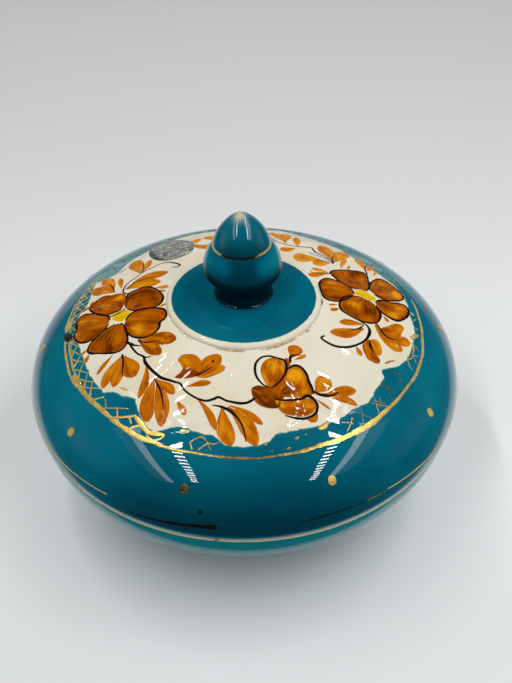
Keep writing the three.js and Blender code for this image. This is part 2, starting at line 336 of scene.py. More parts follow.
class Coat:
    """Thin closed islands of paint or gold that lie on a surface, gathered in one mesh."""

    def __init__(self, lift, place=on_lid):
        self.lift, self.place = lift, place
        self.vertices, self.faces, self.brush, self.tone = [], [], [], []
        self.count = self.islands = 0

    def add(self, x, y, along, across, tone, lift=None):
        """An island from a grid of places; along and across are the brush's path by row and column."""
        height = np.full(x.shape, float(self.lift if lift is None else lift))
        height[[0, -1], :] = height[:, [0, -1]] = -RIM_SUNK
        top = self.place(x, y, height)
        bottom = self.place(x, y, np.full(x.shape, -BACK_SUNK))
        self.vertices += [top.reshape(-1, 3), bottom.reshape(-1, 3)]
        grid = self.count + np.arange(x.size).reshape(x.shape)
        self.faces += grid_faces(grid) + [face[::-1] for face in grid_faces(grid + x.size)]
        border = np.concatenate([grid[0], grid[1:, -1], grid[-1, -2::-1], grid[-2:0:-1, 0]]).tolist()
        self.faces += [(a, b, b + x.size, a + x.size) for a, b in zip(border, border[1:] + border[:1])]
        seed = np.full(x.shape, float(self.islands))
        brush = np.stack([*np.meshgrid(along, across, indexing="ij"), seed], -1).reshape(-1, 3)
        self.brush += [brush, brush]
        self.tone += [np.broadcast_to(tone, x.shape).reshape(-1)] * 2
        self.count += 2 * x.size
        self.islands += 1

    def make(self, name, material):
        attributes = {"brush": np.concatenate(self.brush), "tone": np.concatenate(self.tone)}
        write_mesh(name, np.concatenate(self.vertices), self.faces, material, "lid", attributes)


def steps_between(start, end, count, edge):
    """Even steps with a narrow first and last one, for an island's steep rim."""
    inner = np.linspace(start + edge, end - edge, count)
    return np.concatenate([[start], inner, [end]])


def eased(t):
    """Slow at both ends, so that rounded ends get finer steps."""
    return (1 - np.cos(math.pi * t)) / 2


def curve(points, steps, closed=False):
    """A smooth path through points, with even steps between each two."""
    points = np.asarray(points, float)
    if closed:
        points = np.concatenate([points[-1:], points, points[:2]])
    else:
        points = np.concatenate([2 * points[:1] - points[1:2], points, 2 * points[-1:] - points[-2:-1]])
    a, b, c, d = (points[k:len(points) - 3 + k, None] for k in range(4))
    t = np.arange(steps)[:, None] / steps
    path = 0.5 * (2 * b + (c - a) * t + (2 * a - 5 * b + 4 * c - d) * t * t
                  + (3 * b - a - 3 * c + d) * t ** 3)
    return np.concatenate([path.reshape(-1, 2), points[-2:-1]])


def lengths(path):
    """The length of a path up to each of its points."""
    return np.concatenate([[0], np.cumsum(np.linalg.norm(np.diff(path, axis=0), axis=1))])


def along_path(path, shares):
    """The places at shares of a path's length."""
    run = lengths(path)
    return np.stack([np.interp(np.asarray(shares) * run[-1], run, column) for column in path.T], 1)


def directions(path):
    """The direction of a path at each of its points, and the direction to its left."""
    ahead = np.gradient(path, axis=0)
    ahead /= np.maximum(np.hypot(*ahead.T), 1e-9)[:, None]
    return ahead, np.stack([-ahead[:, 1], ahead[:, 0]], 1)


def heading(degrees):
    return np.array([math.cos(math.radians(degrees)), math.sin(math.radians(degrees))])


def polar(azimuth, r):
    return r * heading(azimuth)


def polar_path(places):
    return [polar(azimuth, r) for azimuth, r in places]


def stroke(coat, points, widths, steps=6, tone=0.5, wobble=0.0, lift=None):
    """A brush stroke along a path; widths are the widths at even shares of its length."""
    path = curve(points, steps)
    ahead, left = directions(path)
    run = lengths(path)
    half = 0.5 * np.interp(run / run[-1], np.linspace(0, 1, len(widths)), widths)
    half = half * (1 + wobble * np.sin(run * 2.1 + len(path)) + wobble * np.sin(run * 0.83))
    ends = path[[0, -1]] + ahead[[0, -1]] * half[[0, -1], None] * [[-0.6], [0.6]]
    path = np.concatenate([ends[:1], path, ends[1:]])
    left = np.pad(left, ((1, 1), (0, 0)), "edge")
    half = np.concatenate([half[:1] * 0.4, half, half[-1:] * 0.4])
    across = np.array([-1, -0.7, 0, 0.7, 1])
    x, y = (path[:, k, None] + (left[:, k] * half)[:, None] * across for k in (0, 1))
    coat.add(x, y, np.pad(run, 1, "edge"), across, tone, lift)


def leaf(coat, root, degrees, length, width, bend=0.0, tone=0.5):
    """One pressed brush mark: narrow at its root, widest past the middle, round at its tip."""
    fullness, bluntness = 1.6, 0.58
    u = eased(steps_between(0, 1, 15, 0.02))
    v = steps_between(-1, 1, 7, 0.06)
    half = width / 2 * np.clip(np.sin(math.pi * u ** fullness), 0, 1) ** bluntness
    half = np.maximum(half, width * np.where(u < 0.5, 0.09, 0.02))
    run = (length * u)[:, None]
    out = (bend * 4 * u * (1 - u))[:, None] + half[:, None] * v
    ahead, side = heading(degrees), heading(degrees + 90)
    x, y = (root[k] + run * ahead[k] + out * side[k] for k in (0, 1))
    shade = tone - 0.18 * np.clip(1 - u / 0.3, 0, 1) + 0.08 * math.sin(3 * root[0] + root[1])
    coat.add(x, y, length * u, v, shade[:, None])


def patch(coat, outline, tip, tone=0.45, glows=(), rows=26, columns=17, lift=None):
    """A filled shape: its outline starts at the root, and its tip is the point of that number.

    Each glow is a place, its reach, and how much brighter or darker the paint is there.
    """
    steps = 6
    path = curve(outline, steps, closed=True)
    turn = tip * steps
    u = eased(steps_between(0.04, 0.96, rows, 0.012))
    v = np.sin(math.pi / 2 * steps_between(-1, 1, columns, 0.04))
    left, right = along_path(path[:turn + 1], u), along_path(path[turn:][::-1], u)
    share = (1 + v)[:, None] / 2
    x, y = np.moveaxis(left[:, None] * (1 - share) + right[:, None] * share, 2, 0)
    shade = np.full(x.shape, float(tone))
    for gx, gy, reach, amount in glows:
        shade += amount * np.exp(-((x - gx) ** 2 + (y - gy) ** 2) / reach ** 2)
    coat.add(x, y, u * math.dist(path[turn], path[0]), v, shade, lift)
    return path


def outlined(coat, lines, outline, tip, gaps=(0.02, 0.97), width=1.0, **look):
    """A petal with the dark line that was drawn round it afterwards, from one share to another."""
    path = patch(coat, outline, tip, **look)
    middle = path.mean(0)
    away = path - middle
    path = path + 0.25 * away / np.hypot(*away.T)[:, None]
    pulse = width * (1 + 0.22 * np.sin(np.arange(14) * 2.2 + middle[0]))
    pulse[[0, -1]] *= 0.5
    stroke(lines, along_path(path, np.linspace(*gaps, 26)), pulse, steps=3, wobble=0.06)


# Materials

def node(tree, kind, inputs=None, **settings):
    made = tree.nodes.new(kind)
    for key, value in settings.items():
        setattr(made, key, value)
    for key, value in (inputs or {}).items():
        feed(made.inputs[key], value)
    return made


def feed(socket, value):
    if isinstance(value, Signal):
        socket.id_data.links.new(value.socket, socket)
    else:
        socket.default_value = value


class Signal:
    """An output of a node; sums, products, ramps and mixes of it are new nodes beside it."""

    def __init__(self, made, key=0):
        self.tree, self.socket = made.id_data, made.outputs[key]

    def maths(self, operation, other=0.0, **settings):
        inputs = {0: self, 1: other}
        return Signal(node(self.tree, "ShaderNodeMath", inputs, operation=operation, **settings))

    def __add__(self, other):
        return self.maths("ADD", other)

    def __sub__(self, other):
        return self.maths("SUBTRACT", other)

    def __mul__(self, other):
        return self.maths("MULTIPLY", other)

    def scaled(self, factors):
        return Signal(node(self.tree, "ShaderNodeVectorMath", {0: self, 1: factors}, operation="MULTIPLY"))

    def part(self, k):
        """One coordinate of a vector."""
        return Signal(node(self.tree, "ShaderNodeSeparateXYZ", {0: self}), k)

    def length(self):
        return Signal(node(self.tree, "ShaderNodeVectorMath", {0: self}, operation="LENGTH"), "Value")

    def ramp(self, low, high, start=0.0, end=1.0):
        """Runs smoothly from start to end while this goes from low to high."""
        return Signal(node(self.tree, "ShaderNodeMapRange", {
            "Value": self, "From Min": low, "From Max": high, "To Min": start, "To Max": end,
        }, interpolation_type="SMOOTHSTEP"))

    def mix(self, first, second):
        """The first colour where this is 0, and the second where it is 1."""
        return Signal(node(self.tree, "ShaderNodeMix", {0: self, 6: first, 7: second}, data_type="RGBA"), 2)

    def bump(self, depth, under=None):
        """Relief of a depth in millimetres with this as height, on top of another relief."""
        inputs = {"Height": self, "Distance": depth * MILLIMETRE}
        return Signal(node(self.tree, "ShaderNodeBump", inputs | ({"Normal": under} if under else {})))


def colour(red, green, blue):
    """A colour as it is seen, in 255ths, as linear light."""
    def linear(c):
        c /= 255
        return c / 12.92 if c <= 0.04045 else ((c + 0.055) / 1.055) ** 2.4
    return (linear(red), linear(green), linear(blue), 1)


class Finish:
    """A material with short ways to the nodes that the glazes and paints share."""

    def __init__(self, name):
        self.material = bpy.data.materials.new(name)
        self.material.use_nodes = True
        self.tree = self.material.node_tree
        self.tree.nodes.clear()
        self.shader = node(self.tree, "ShaderNodeBsdfPrincipled")
        self.output = node(self.tree, "ShaderNodeOutputMaterial", {0: Signal(self.shader)})
        self.place = Signal(node(self.tree, "ShaderNodeTexCoord"), "Object")

    def set(self, **values):
        for key, value in values.items():
            feed(self.shader.inputs[key.replace("_", " ")], value)

    def attribute(self, name, key="Fac"):
        return Signal(node(self.tree, "ShaderNodeAttribute", attribute_name=name), key)

    def noise(self, size, vector=None, detail=3.0, rough=0.5, distortion=0.0):
        """Noise between 0 and 1 whose features are about the size given, in millimetres."""
        return Signal(node(self.tree, "ShaderNodeTexNoise", {
            "Vector": vector or self.place, "Scale": 1 / (size * MILLIMETRE), "Detail": detail,
            "Roughness": rough, "Distortion": distortion}))

    def facing(self):
        """0 where the surface is seen straight on, and 1 where it is seen edge on."""
        return Signal(node(self.tree, "ShaderNodeLayerWeight", {"Blend": 0.5}), "Facing")

    def rings(self):
        """A vector that changes fast outwards and slowly round the axis, for turned streaks."""
        round_the_axis = 0.12
        x, y, z = (self.place.part(k) for k in range(3))
        flat = Signal(node(self.tree, "ShaderNodeCombineXYZ", {0: x, 1: y}))
        return Signal(node(self.tree, "ShaderNodeCombineXYZ", {
            0: x * round_the_axis, 1: y * round_the_axis, 2: flat.length() + z}))


TEAL = colour(0, 104, 129)
TEAL_DEEP = colour(0, 90, 113)
TEAL_THIN = colour(10, 120, 128)
# Of the next two teals, the first is pooled glaze and painted shade, and the second a painted highlight
TEAL_POOL_AND_SHADE = colour(0, 36, 50)
TEAL_PAINTED_HIGHLIGHT = colour(8, 130, 140)
CREAM = colour(230, 224, 204)
CREAM_WARM = colour(228, 216, 186)
CREAM_SPECK = colour(150, 120, 80)
GLAZE_WORN = colour(206, 204, 168)
CLAY = colour(214, 203, 184)
CLAY_DARK = colour(176, 158, 134)
CLAY_SMUDGE = colour(120, 104, 88)
BLACK = colour(22, 16, 14)
BLACK_THIN = colour(72, 40, 22)
GOLD = colour(204, 168, 84)
GOLD_BRIGHT = colour(226, 194, 110)
TARNISH = colour(38, 28, 16)
SILVER = colour(214, 214, 204)
SILVER_DULL = colour(172, 173, 164)
SILVER_PIT = colour(34, 37, 34)
SHEEN = 0.01  # specular level under the coats: the tent shows only faintly in the colours
UNIT = 1 / MILLIMETRE  # the noise's size for a vector that is scaled already


def teal_colour(finish):
    """Deep glaze, a little uneven: clouds where it pooled and faint streaks of the wide brush."""
    clouds = finish.noise(26, detail=2).ramp(0.32, 0.68)
    streaks = finish.noise(3.2, finish.rings(), detail=4).ramp(0.35, 0.7)
    return (streaks * 0.30).mix(clouds.mix(TEAL, TEAL_DEEP), TEAL_THIN)


def cream_colour(finish):
    """Warm clouds and a few specks of iron."""
    warm = finish.noise(21, detail=3).ramp(0.38, 0.72)
    cells = Signal(node(finish.tree, "ShaderNodeTexVoronoi", {
        "Vector": finish.place, "Scale": 1 / (7 * MILLIMETRE)}), "Distance")
    return cells.ramp(0.03, 0.055, 0.55, 0.0).mix(warm.mix(CREAM, CREAM_WARM), CREAM_SPECK)


def gloss(finish):
    """Fired gloss with the slow waves of a dipped glaze; 'shine' says where it is clearest."""
    facing = finish.facing()
    ahead = finish.attribute("shine") * facing.ramp(0.2, 0.45, 1.0, 0.0)
    low = facing.ramp(0.585, 0.68) * finish.attribute("pool_shade_and_highlight").ramp(0.0, 1.0, 1.0, 0.1)
    finish.set(IOR=1.45, Specular_IOR_Level=SHEEN, Coat_Roughness=0.02,
               Coat_Weight=ahead.maths("MAXIMUM", low))
    rough = finish.noise(9, detail=4).ramp(0.3, 0.8, 0.012, 0.03)
    return rough, finish.noise(1.6, detail=2).bump(0.0008, finish.noise(14, detail=1).bump(0.02))


def glazed(name):
    """Teal over cream, split by the sign of the attribute 'teal' (millimetres from the edge).

    The pooling attribute darkens the teal where it ran thick and where shade is painted in, and turns it
    paler below zero as a painted highlight.
    """
    finish = Finish(name)
    ragged = finish.noise(2.6, detail=4, rough=0.6) - 0.5
    edge = finish.attribute("teal") + ragged * 1.6
    thin = edge.ramp(-0.35, 0.1)
    pool_shade_and_highlight = finish.attribute("pool_shade_and_highlight")
    # Above zero the teal darkens, as pooled glaze and painted shade; below zero it turns paler, as a
    # painted highlight
    teal = pool_shade_and_highlight.ramp(0, 1).mix(teal_colour(finish), TEAL_POOL_AND_SHADE)
    teal = edge.ramp(0.0, 1.0).mix(TEAL_THIN, pool_shade_and_highlight.ramp(0, -1).mix(teal, TEAL_PAINTED_HIGHLIGHT))
    glaze = finish.attribute("worn").mix(thin.mix(cream_colour(finish), teal), GLAZE_WORN)
    clay = finish.noise(0.5, detail=5, rough=0.7).ramp(0.3, 0.75).mix(CLAY, CLAY_DARK)
    clay = finish.noise(5, detail=4).ramp(0.55, 0.75, 0.0, 0.5).mix(clay, CLAY_SMUDGE)
    bare = finish.attribute("bare")
    rough, skin = gloss(finish)
    finish.set(Base_Color=bare.mix(glaze, clay), Roughness=rough + bare * 0.6,
               Normal=thin.bump(0.05, skin))
    return finish.material


def painted(name, dark, middle, light):
    """Lustre colour laid with a loaded brush: 'brush' is millimetres along, -1 to 1 across."""
    finish = Finish(name)
    brush = finish.attribute("brush", "Vector")
    hairs = finish.noise(UNIT, brush.scaled((0.16, 5.5, 3.7)), detail=4)
    pools = finish.noise(UNIT, brush.scaled((0.17, 1.1, 9.1)), detail=2)
    value = pools.ramp(0.34, 0.66) * 0.44 + hairs.ramp(0.3, 0.7) * 0.22 + finish.attribute("tone") * 0.9
    value = value.maths("SUBTRACT", 0.34, use_clamp=True)
    body = value.ramp(0.4, 1.0).mix(value.ramp(0.0, 0.45).mix(dark, middle), light)
    rim = brush.part(1).maths("ABSOLUTE").ramp(0.78, 1.0, 0.0, 0.55)
    finish.set(
        Base_Color=rim.mix(body, middle), Roughness=hairs.ramp(0.3, 0.8, 0.03, 0.08),
        Normal=hairs.bump(0.004, finish.noise(1.6, detail=2).bump(0.001)), IOR=1.45,
        Specular_IOR_Level=SHEEN, Coat_Roughness=0.04,
        Coat_Weight=finish.facing().ramp(0.2, 0.45, 0.25, 0.0))
    return finish.material


def black_paint():
    finish = Finish("outline_paint")
    hairs = finish.noise(0.7, detail=4)
    finish.set(
        Base_Color=hairs.ramp(0.55, 0.85).mix(BLACK, BLACK_THIN), Roughness=hairs.ramp(0.3, 0.8, 0.1, 0.22),
        Normal=hairs.bump(0.015), IOR=1.5, Specular_IOR_Level=SHEEN)
    return finish.material


def gilded(name, under, wear=0.0):
    """Fired gold: bright where 'tone' is high, brown with tarnish lower, and rubbed off below."""
    finish = Finish(name)
    tone = finish.attribute("tone")
    rub = finish.noise(1.1, detail=5, rough=0.7)
    kept = tone + (rub - 0.5) * 0.7 + (finish.noise(7, detail=2) - 0.5) * 0.7 - wear
    kept = kept.ramp(0.30, 0.42)
    dull = tone + (rub - 0.5) * 0.5
    tint = finish.noise(2.4, detail=3).ramp(0.3, 0.7).mix(GOLD, GOLD_BRIGHT)
    finish.set(
        Base_Color=kept.mix(under, dull.ramp(0.42, 0.74).mix(TARNISH, tint)),
        Metallic=kept * dull.ramp(0.42, 0.74, 0.3, 0.45),
        Roughness=kept * 0.16 + finish.noise(0.9).ramp(0.3, 0.8, 0.08, 0.2),
        Normal=rub.bump(0.02), IOR=1.45, Specular_IOR_Level=SHEEN)
    return finish.material


def foil_metal():
    """Silver foil, scuffed all over and pitted where it was rubbed through."""
    finish = Finish("worn_foil")
    scratch = finish.noise(0.35, finish.place.scaled((1, 0.07, 1)), detail=4)
    rubbed = finish.noise(3.2, detail=5, rough=0.75)
    fine = finish.noise(0.9, detail=4, rough=0.7, distortion=0.6)
    pits = (fine + rubbed * 0.35).ramp(0.66, 0.72)
    # Painted shade: the crumpled fold at the label's end is darkened like the pits
    crumple_shade = finish.attribute("crumple_shade") * fine.ramp(0.3, 0.5)
    body = rubbed.ramp(0.35, 0.65).mix(SILVER, SILVER_DULL)
    finish.set(
        Base_Color=pits.maths("MAXIMUM", crumple_shade).mix(body, SILVER_PIT),
        Metallic=fine.ramp(0.3, 0.8, 0.75, 0.35), Roughness=scratch.ramp(0.3, 0.8, 0.34, 0.6),
        Normal=scratch.bump(0.03, fine.bump(0.08, finish.noise(3.4, detail=3).bump(0.2))))
    return finish.material


# Bowl

GLAZE = glazed("cover_glaze")
ALL_TEAL, ALL_CREAM = 9, -9  # millimetres inside the teal's edge, and outside it
WIPED_HEIGHT = 1.4  # the foot's bottom was wiped free of glaze up to here


def towards_front(points):
    """How far each point is turned to the front: 1 in front of the axis, and -1 behind it."""
    return -points[:, 1] / np.maximum(np.hypot(points[:, 0], points[:, 1]), 1)


# The bowl is cream inside, in the recess of its foot, and in a thin line at its rim
profile = bowl_profile()
points, faces, index = turned(profile, 480)
radius, height = np.hypot(points[:, 0], points[:, 1]), points[:, 2]
outside = index <= np.argmax(profile[:, 1] > SEAM - 1e-6)
teal = np.where(outside, 4 * (SEAM - 0.45 - height), ALL_CREAM)
teal = np.where(outside & (height < 2.2), 1.6 * (height - WIPED_HEIGHT), teal)
teal = np.where(outside & (radius < FOOT_RADIUS - FOOT_WIDTH - 0.2), ALL_CREAM, teal)
bare = np.where(outside & (height < 1.5) & (radius > 30), smooth((1.3 - height) / 0.9), 0)
# The outside teal is painted paler all round: a painted reflection of the floor
bowl = write_mesh("bowl_glazed", points, faces, GLAZE, "bowl",
                  {"teal": teal, "bare": bare, "pool_shade_and_highlight": np.full(len(points), -0.85),
                   "shine": np.where(outside, 0.1, 0.3)})
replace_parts(bowl, "bowl")


# Lid: the ragged edge where the teal glaze was brushed up to the cream, as azimuth and radius

EDGE = np.array([
    (151, 64), (156, 71), (164, 68), (169, 67), (176, 69), (189, 69), (192, 67.5), (201, 67), (210, 67.5),
    (218, 67.5), (221, 65), (225, 64), (229, 62), (234, 66), (238, 68.6), (242, 70), (246, 66.4), (250, 65),
    (257, 66), (260, 66), (264, 69), (269, 69.5), (274, 69), (277, 68), (279, 66), (286, 65.6), (295, 66.5),
    (302, 67), (306, 66), (313, 67), (318, 65.4), (325, 64.4), (327, 62), (331, 65), (337.5, 68.3),
    (345, 69), (355, 70), (362.5, 69), (374, 70.8), (381, 69.4), (387.5, 67), (396, 65), (408, 67),
    (417, 67), (426.5, 68), (435.5, 71), (445, 69), (455, 68), (466, 70), (478, 69), (490, 67), (502, 66),
], float)


def cream_edge(azimuth):
    """Radius of the cream's edge, at azimuths in radians."""
    return np.interp(np.degrees(azimuth) % 360, EDGE[:, 0], EDGE[:, 1], period=360)


outside_profile = lid_outside()
points, faces, index = turned(np.concatenate([outside_profile, lid_inside()]), 360, closed=True)
radius, azimuth = np.hypot(points[:, 0], points[:, 1]), np.arctan2(points[:, 1], points[:, 0])
outside = index < len(outside_profile)
on_band = outside & (radius > band_top_radius) & (radius < band_radius - 1e-6)
points[on_band, 2] += relief(radius, azimuth)[on_band]
height, front = points[:, 2], towards_front(points)
shoulder = radius > band_radius - 8
# Teal on the disc and outside the ragged edge, with the cream band between them
middle_of_band = (band_top_radius + band_radius) / 2
teal = np.where(radius < middle_of_band, 2.2 * (DISC_RADIUS - 0.15 - radius), radius - cream_edge(azimuth))
# Painted shade darkens the teal low at the front, and a painted highlight turns it paler at the lip and
# over the back of the shoulder
pool_shade_and_highlight = (-0.35 + 1.03 * smooth((front - 0.55) / 0.45)) * smooth((82 - height) / 32)
pool_shade_and_highlight = np.where(shoulder, pool_shade_and_highlight - 1.3 * smooth((SEAM + 3.4 - height) / 2), 0)
pool_shade_and_highlight = pool_shade_and_highlight - 0.75 * smooth((-front - 0.15) / 0.5) * smooth((height - 58) / 12) * shoulder
lid = write_mesh("lid_glazed", points, faces, GLAZE, "lid",
                 {"teal": np.where(outside, teal, ALL_CREAM), "pool_shade_and_highlight": pool_shade_and_highlight,
                  "shine": np.where(outside, 0.5 * smooth((height - 56) / 8), 0.3)})
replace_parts(lid, "lid")

# Knob: darkened below its crease as pooled glaze and painted shade, painted shade down its front, a painted
# highlight in a pale belt at the sides, and worn in a spot by its tip

KNOB_BARE_SPOT = (-1.1, -1.3, knob_seat_height + 36.2)
points, faces, _ = turned(knob_profile(), 192)
points = lean(points)
up, front = points[:, 2] - knob_seat_height, towards_front(points)
worn = 0.95 * np.exp(-(np.linalg.norm(points - KNOB_BARE_SPOT, axis=1) / 2.3) ** 2)
pool_shade_and_highlight = np.maximum(smooth((20 - up) / 9), 0.66 * smooth((front - 0.2) / 0.7) * smooth((34 - up) / 10))
painted_side_highlight = (1 - smooth((front - 0.8) / 0.19)) * (0.95 + 0.012 * points[:, 0])
pool_shade_and_highlight = pool_shade_and_highlight - painted_side_highlight * np.exp(-((up - 19.2) / 2.8) ** 2)
shine = np.maximum(0.85 * smooth((up - 24) / 3), 0.6 * smooth((7 - up) / 2))
knob = write_mesh("knob_glazed", points, faces, GLAZE, "lid",
                  {"teal": np.full(len(points), ALL_TEAL), "pool_shade_and_highlight": pool_shade_and_highlight, "worn": worn, "shine": shine})
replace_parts(knob, "knob")


# Painted blossoms, leaves and stems

PETAL_PAINT = painted("petal_lustre", colour(92, 38, 0), colour(168, 82, 0), colour(232, 154, 18))
LEAF_PAINT = painted("leaf_lustre", colour(130, 56, 0), colour(192, 104, 2), colour(228, 150, 20))
YELLOW_PAINT = painted("centre_paint", colour(178, 138, 4), colour(222, 182, 6), colour(244, 214, 30))
BLACK_PAINT = black_paint()

petal_coat = Coat(0.07)
leaf_coat = Coat(0.05)
heart_coat = Coat(0.05)
line_coat = Coat(0.12)

# The blossom on the left
for outline, tip, look in (
    ([(-50, 0.3), (-53, -0.6), (-56, -1.2), (-59.5, 1), (-62.2, 4.5), (-64.3, 8), (-63.3, 10.6),
      (-60.8, 13), (-56, 12.8), (-51.5, 12.3), (-49, 10), (-48.7, 5)], 5,
     dict(tone=0.36, glows=[(-52, 9, 3, 0.45), (-61, 9, 3, 0.25)], gaps=(0.0, 0.62))),
    ([(-48, 0.3), (-48.2, 5), (-48, 9.8), (-45, 11.3), (-41, 12), (-37.6, 10.2), (-34.8, 7), (-33.1, 3),
      (-33.8, -1.2), (-36.5, -3), (-40.3, -2.9), (-44.5, -2.6), (-46.8, -0.9)], 7,
     dict(tone=0.36, glows=[(-39.5, 5, 2.6, 0.3), (-38.5, -1.2, 2.8, 0.4)])),
    ([(-47.4, -9), (-46.2, -6), (-43.6, -3.9), (-39.6, -3.7), (-35.6, -4), (-32.3, -5.4), (-31, -8.6),
      (-31.5, -11), (-33.6, -12.6), (-33.4, -15.2), (-35, -18.3), (-38.4, -19.7), (-42.3, -18.2),
      (-45.4, -15.5), (-47, -12.3)], 8,
     dict(tone=0.38, glows=[(-41.5, -14.5, 3.4, 0.62), (-36, -16, 2.5, 0.2)], width=1.1)),
    ([(-50.8, -8.8), (-54, -10), (-57.5, -12.6), (-60.5, -15.6), (-61.7, -18.2), (-60.2, -20.5),
      (-56.5, -21.8), (-53, -23.2), (-49.6, -24), (-46.8, -22.6), (-45.9, -19.5), (-46.4, -15.5),
      (-47.9, -10.6)], 7,
     dict(tone=0.34, glows=[(-57, -18.6, 3.2, 0.26), (-50, -17.5, 2.4, 0.2), (-50, -22, 3, -0.3)])),
    ([(-54.2, -6), (-55, -3), (-57.6, -0.4), (-60.8, 1.8), (-64.2, 4), (-67, 4.6), (-68.7, 2),
      (-68.8, -1.2), (-68, -3.6), (-68.8, -6.6), (-67.8, -10), (-65.8, -12.4), (-62.4, -13.8),
      (-59.2, -13.4), (-55.8, -10)], 8,
     dict(tone=0.40, glows=[(-66.3, 1.2, 2.8, 0.5), (-67.3, -7, 2, 0.25), (-59, -5, 3, -0.1)])),
):
    outlined(petal_coat, line_coat, outline, tip, **look)
patch(heart_coat, [(-53.4, -4.2), (-51, -2.6), (-48.3, -1), (-46.4, -2.6), (-44.4, -4.2), (-45.8, -5.2),
                   (-47.2, -6.4), (-48.9, -8), (-51.4, -6.8)], 4, tone=0.5)
patch(heart_coat, [(-53.6, -1.9), (-52, -0.9), (-49.8, 0.1), (-50.6, -1.4), (-52, -2.3)], 2, tone=0.4)
stroke(line_coat, [(-55.3, -2.6), (-52.5, -2.9), (-50, -1.8), (-48.2, -0.1)], [0.6, 0.9, 0.6])

# The blossom on the right
for outline, tip, look in (
    ([(45.3, 5.8), (45, 8.6), (43.3, 11.4), (41.2, 13.8), (38.3, 15.2), (35, 15.3), (32.9, 13.6),
      (31.6, 10.5), (31.7, 7), (32, 3.3), (33.3, 0.5), (36, -0.4), (39, 0), (41.6, 2), (43.8, 4.2)], 8,
     dict(tone=0.36, glows=[(36.2, 13, 2.6, 0.36)])),
    ([(48.4, 10.9), (45.3, 11.2), (42.8, 12.6), (40.8, 15.3), (38.5, 17.8), (37, 20.2), (38.4, 22.2),
      (41.4, 24), (45.2, 25.6), (49.5, 26.8), (52.6, 26.6), (53.4, 23), (53.1, 18.5), (52.6, 14.4),
      (51.2, 11.6)], 8,
     dict(tone=0.34, glows=[(42, 21, 3, 0.25), (50.5, 22, 2.5, 0.2), (48.5, 14.5, 3, -0.15)])),
    ([(54, 10.8), (53.3, 13.6), (53.9, 17), (55.1, 20.6), (57.1, 23.8), (59.2, 25.8), (62, 25.2),
      (64.6, 22.4), (66.2, 19.7), (67.9, 16.8), (67.6, 13.8), (65.4, 11.4), (62.6, 9), (59.6, 7.8),
      (56.6, 8.4)], 7, dict(tone=0.36, glows=[(65.3, 15.4, 2.6, 0.55), (58.5, 20, 3, 0.15)])),
    ([(54.3, 2.8), (55.7, 5.4), (58.4, 6.6), (61.4, 6.4), (64.4, 7.8), (66.8, 9), (68.6, 7), (68.3, 3.6),
      (66.9, 0.6), (65, -1.8), (62.7, -3.6), (59.8, -3.7), (57, -2.2), (55.2, 0.2)], 7,
     dict(tone=0.36, glows=[(64, 4.6, 2.6, 0.3), (61.5, -2, 2.2, 0.4), (57.5, 3, 2, -0.12)], width=1.15)),
    ([(50, 4.6), (46.4, 4.8), (42.9, 3.8), (40.4, 1.8), (39, -1.4), (39, -4.3), (41, -7), (43.8, -8.9),
      (47, -10), (50.3, -9.9), (52.8, -8.5), (54.6, -5.8), (55.2, -2.6), (53.7, 0.8), (52.2, 2.9)], 8,
     dict(tone=0.38, glows=[(44.8, -0.6, 3, 0.45), (47, -6, 2.4, 0.15)], width=1.1)),
):
    outlined(petal_coat, line_coat, outline, tip, **look)
patch(heart_coat, [(45.9, 7.6), (47.7, 9.9), (51, 11), (52.7, 9), (54.8, 6.7), (53.2, 4.3), (51, 4.8),
                   (48.6, 5.8), (46.8, 6.1)], 4, tone=0.55)

# The bud at the front, with its outlines a little off the colour
for outline, tip, look in (
    ([(8.4, -47.2), (6.6, -44.2), (5.8, -41), (6.6, -37.4), (9, -35), (12, -34.7), (14.3, -36.2),
      (14.9, -39.4), (13.8, -43.2), (11.6, -46.6)], 5,
     dict(tone=0.62, glows=[(10.5, -39, 3, 0.2), (12.3, -44, 3, -0.2)])),
    ([(12.4, -50.2), (13.6, -45), (15.3, -40.8), (17.6, -38.5), (20.2, -38.5), (22.2, -40.8), (23.2, -43.8),
      (24.2, -46.6), (24.4, -49.6), (20.4, -50.8), (16, -51.2)], 5,
     dict(tone=0.42, glows=[(18.6, -42, 2.6, 0.7), (22, -48, 1.8, 0.6)])),
    ([(10.8, -52.4), (14, -52.5), (18, -51.9), (22, -50.9), (24.6, -51.4), (25.7, -53.7), (24.3, -56.2),
      (21.6, -57.7), (18, -58.3), (14, -57.8), (12, -56.2)], 5,
     dict(tone=0.55, glows=[(22.5, -53.6, 2.2, 0.5), (13, -54, 2.4, 0.3)])),
    ([(2.2, -49), (3, -47.6), (5.2, -47), (8, -48), (10.5, -49.8), (12.6, -52.4), (12.2, -55.4), (9, -56),
      (5.4, -55), (3, -52.6)], 6, dict(tone=0.12)),
    ([(22, -58.6), (24.2, -57.6), (25.8, -56), (26, -58.2), (25.2, -59.6), (23.4, -59.9)], 3,
     dict(tone=0.75)),
    ([(14.9, -34.6), (16.3, -34.8), (17, -37), (16.2, -38.2), (15.4, -37)], 2, dict(tone=0.5)),
    ([(9.8, -51.4), (7.4, -48.6), (8.2, -46.2), (11.4, -45), (14.4, -43.6), (15.2, -47.4), (14.2, -51.4),
      (12.2, -53.4)], 4, dict(tone=0.2, lift=0.05)),
):
    patch(petal_coat, outline, tip, **look)
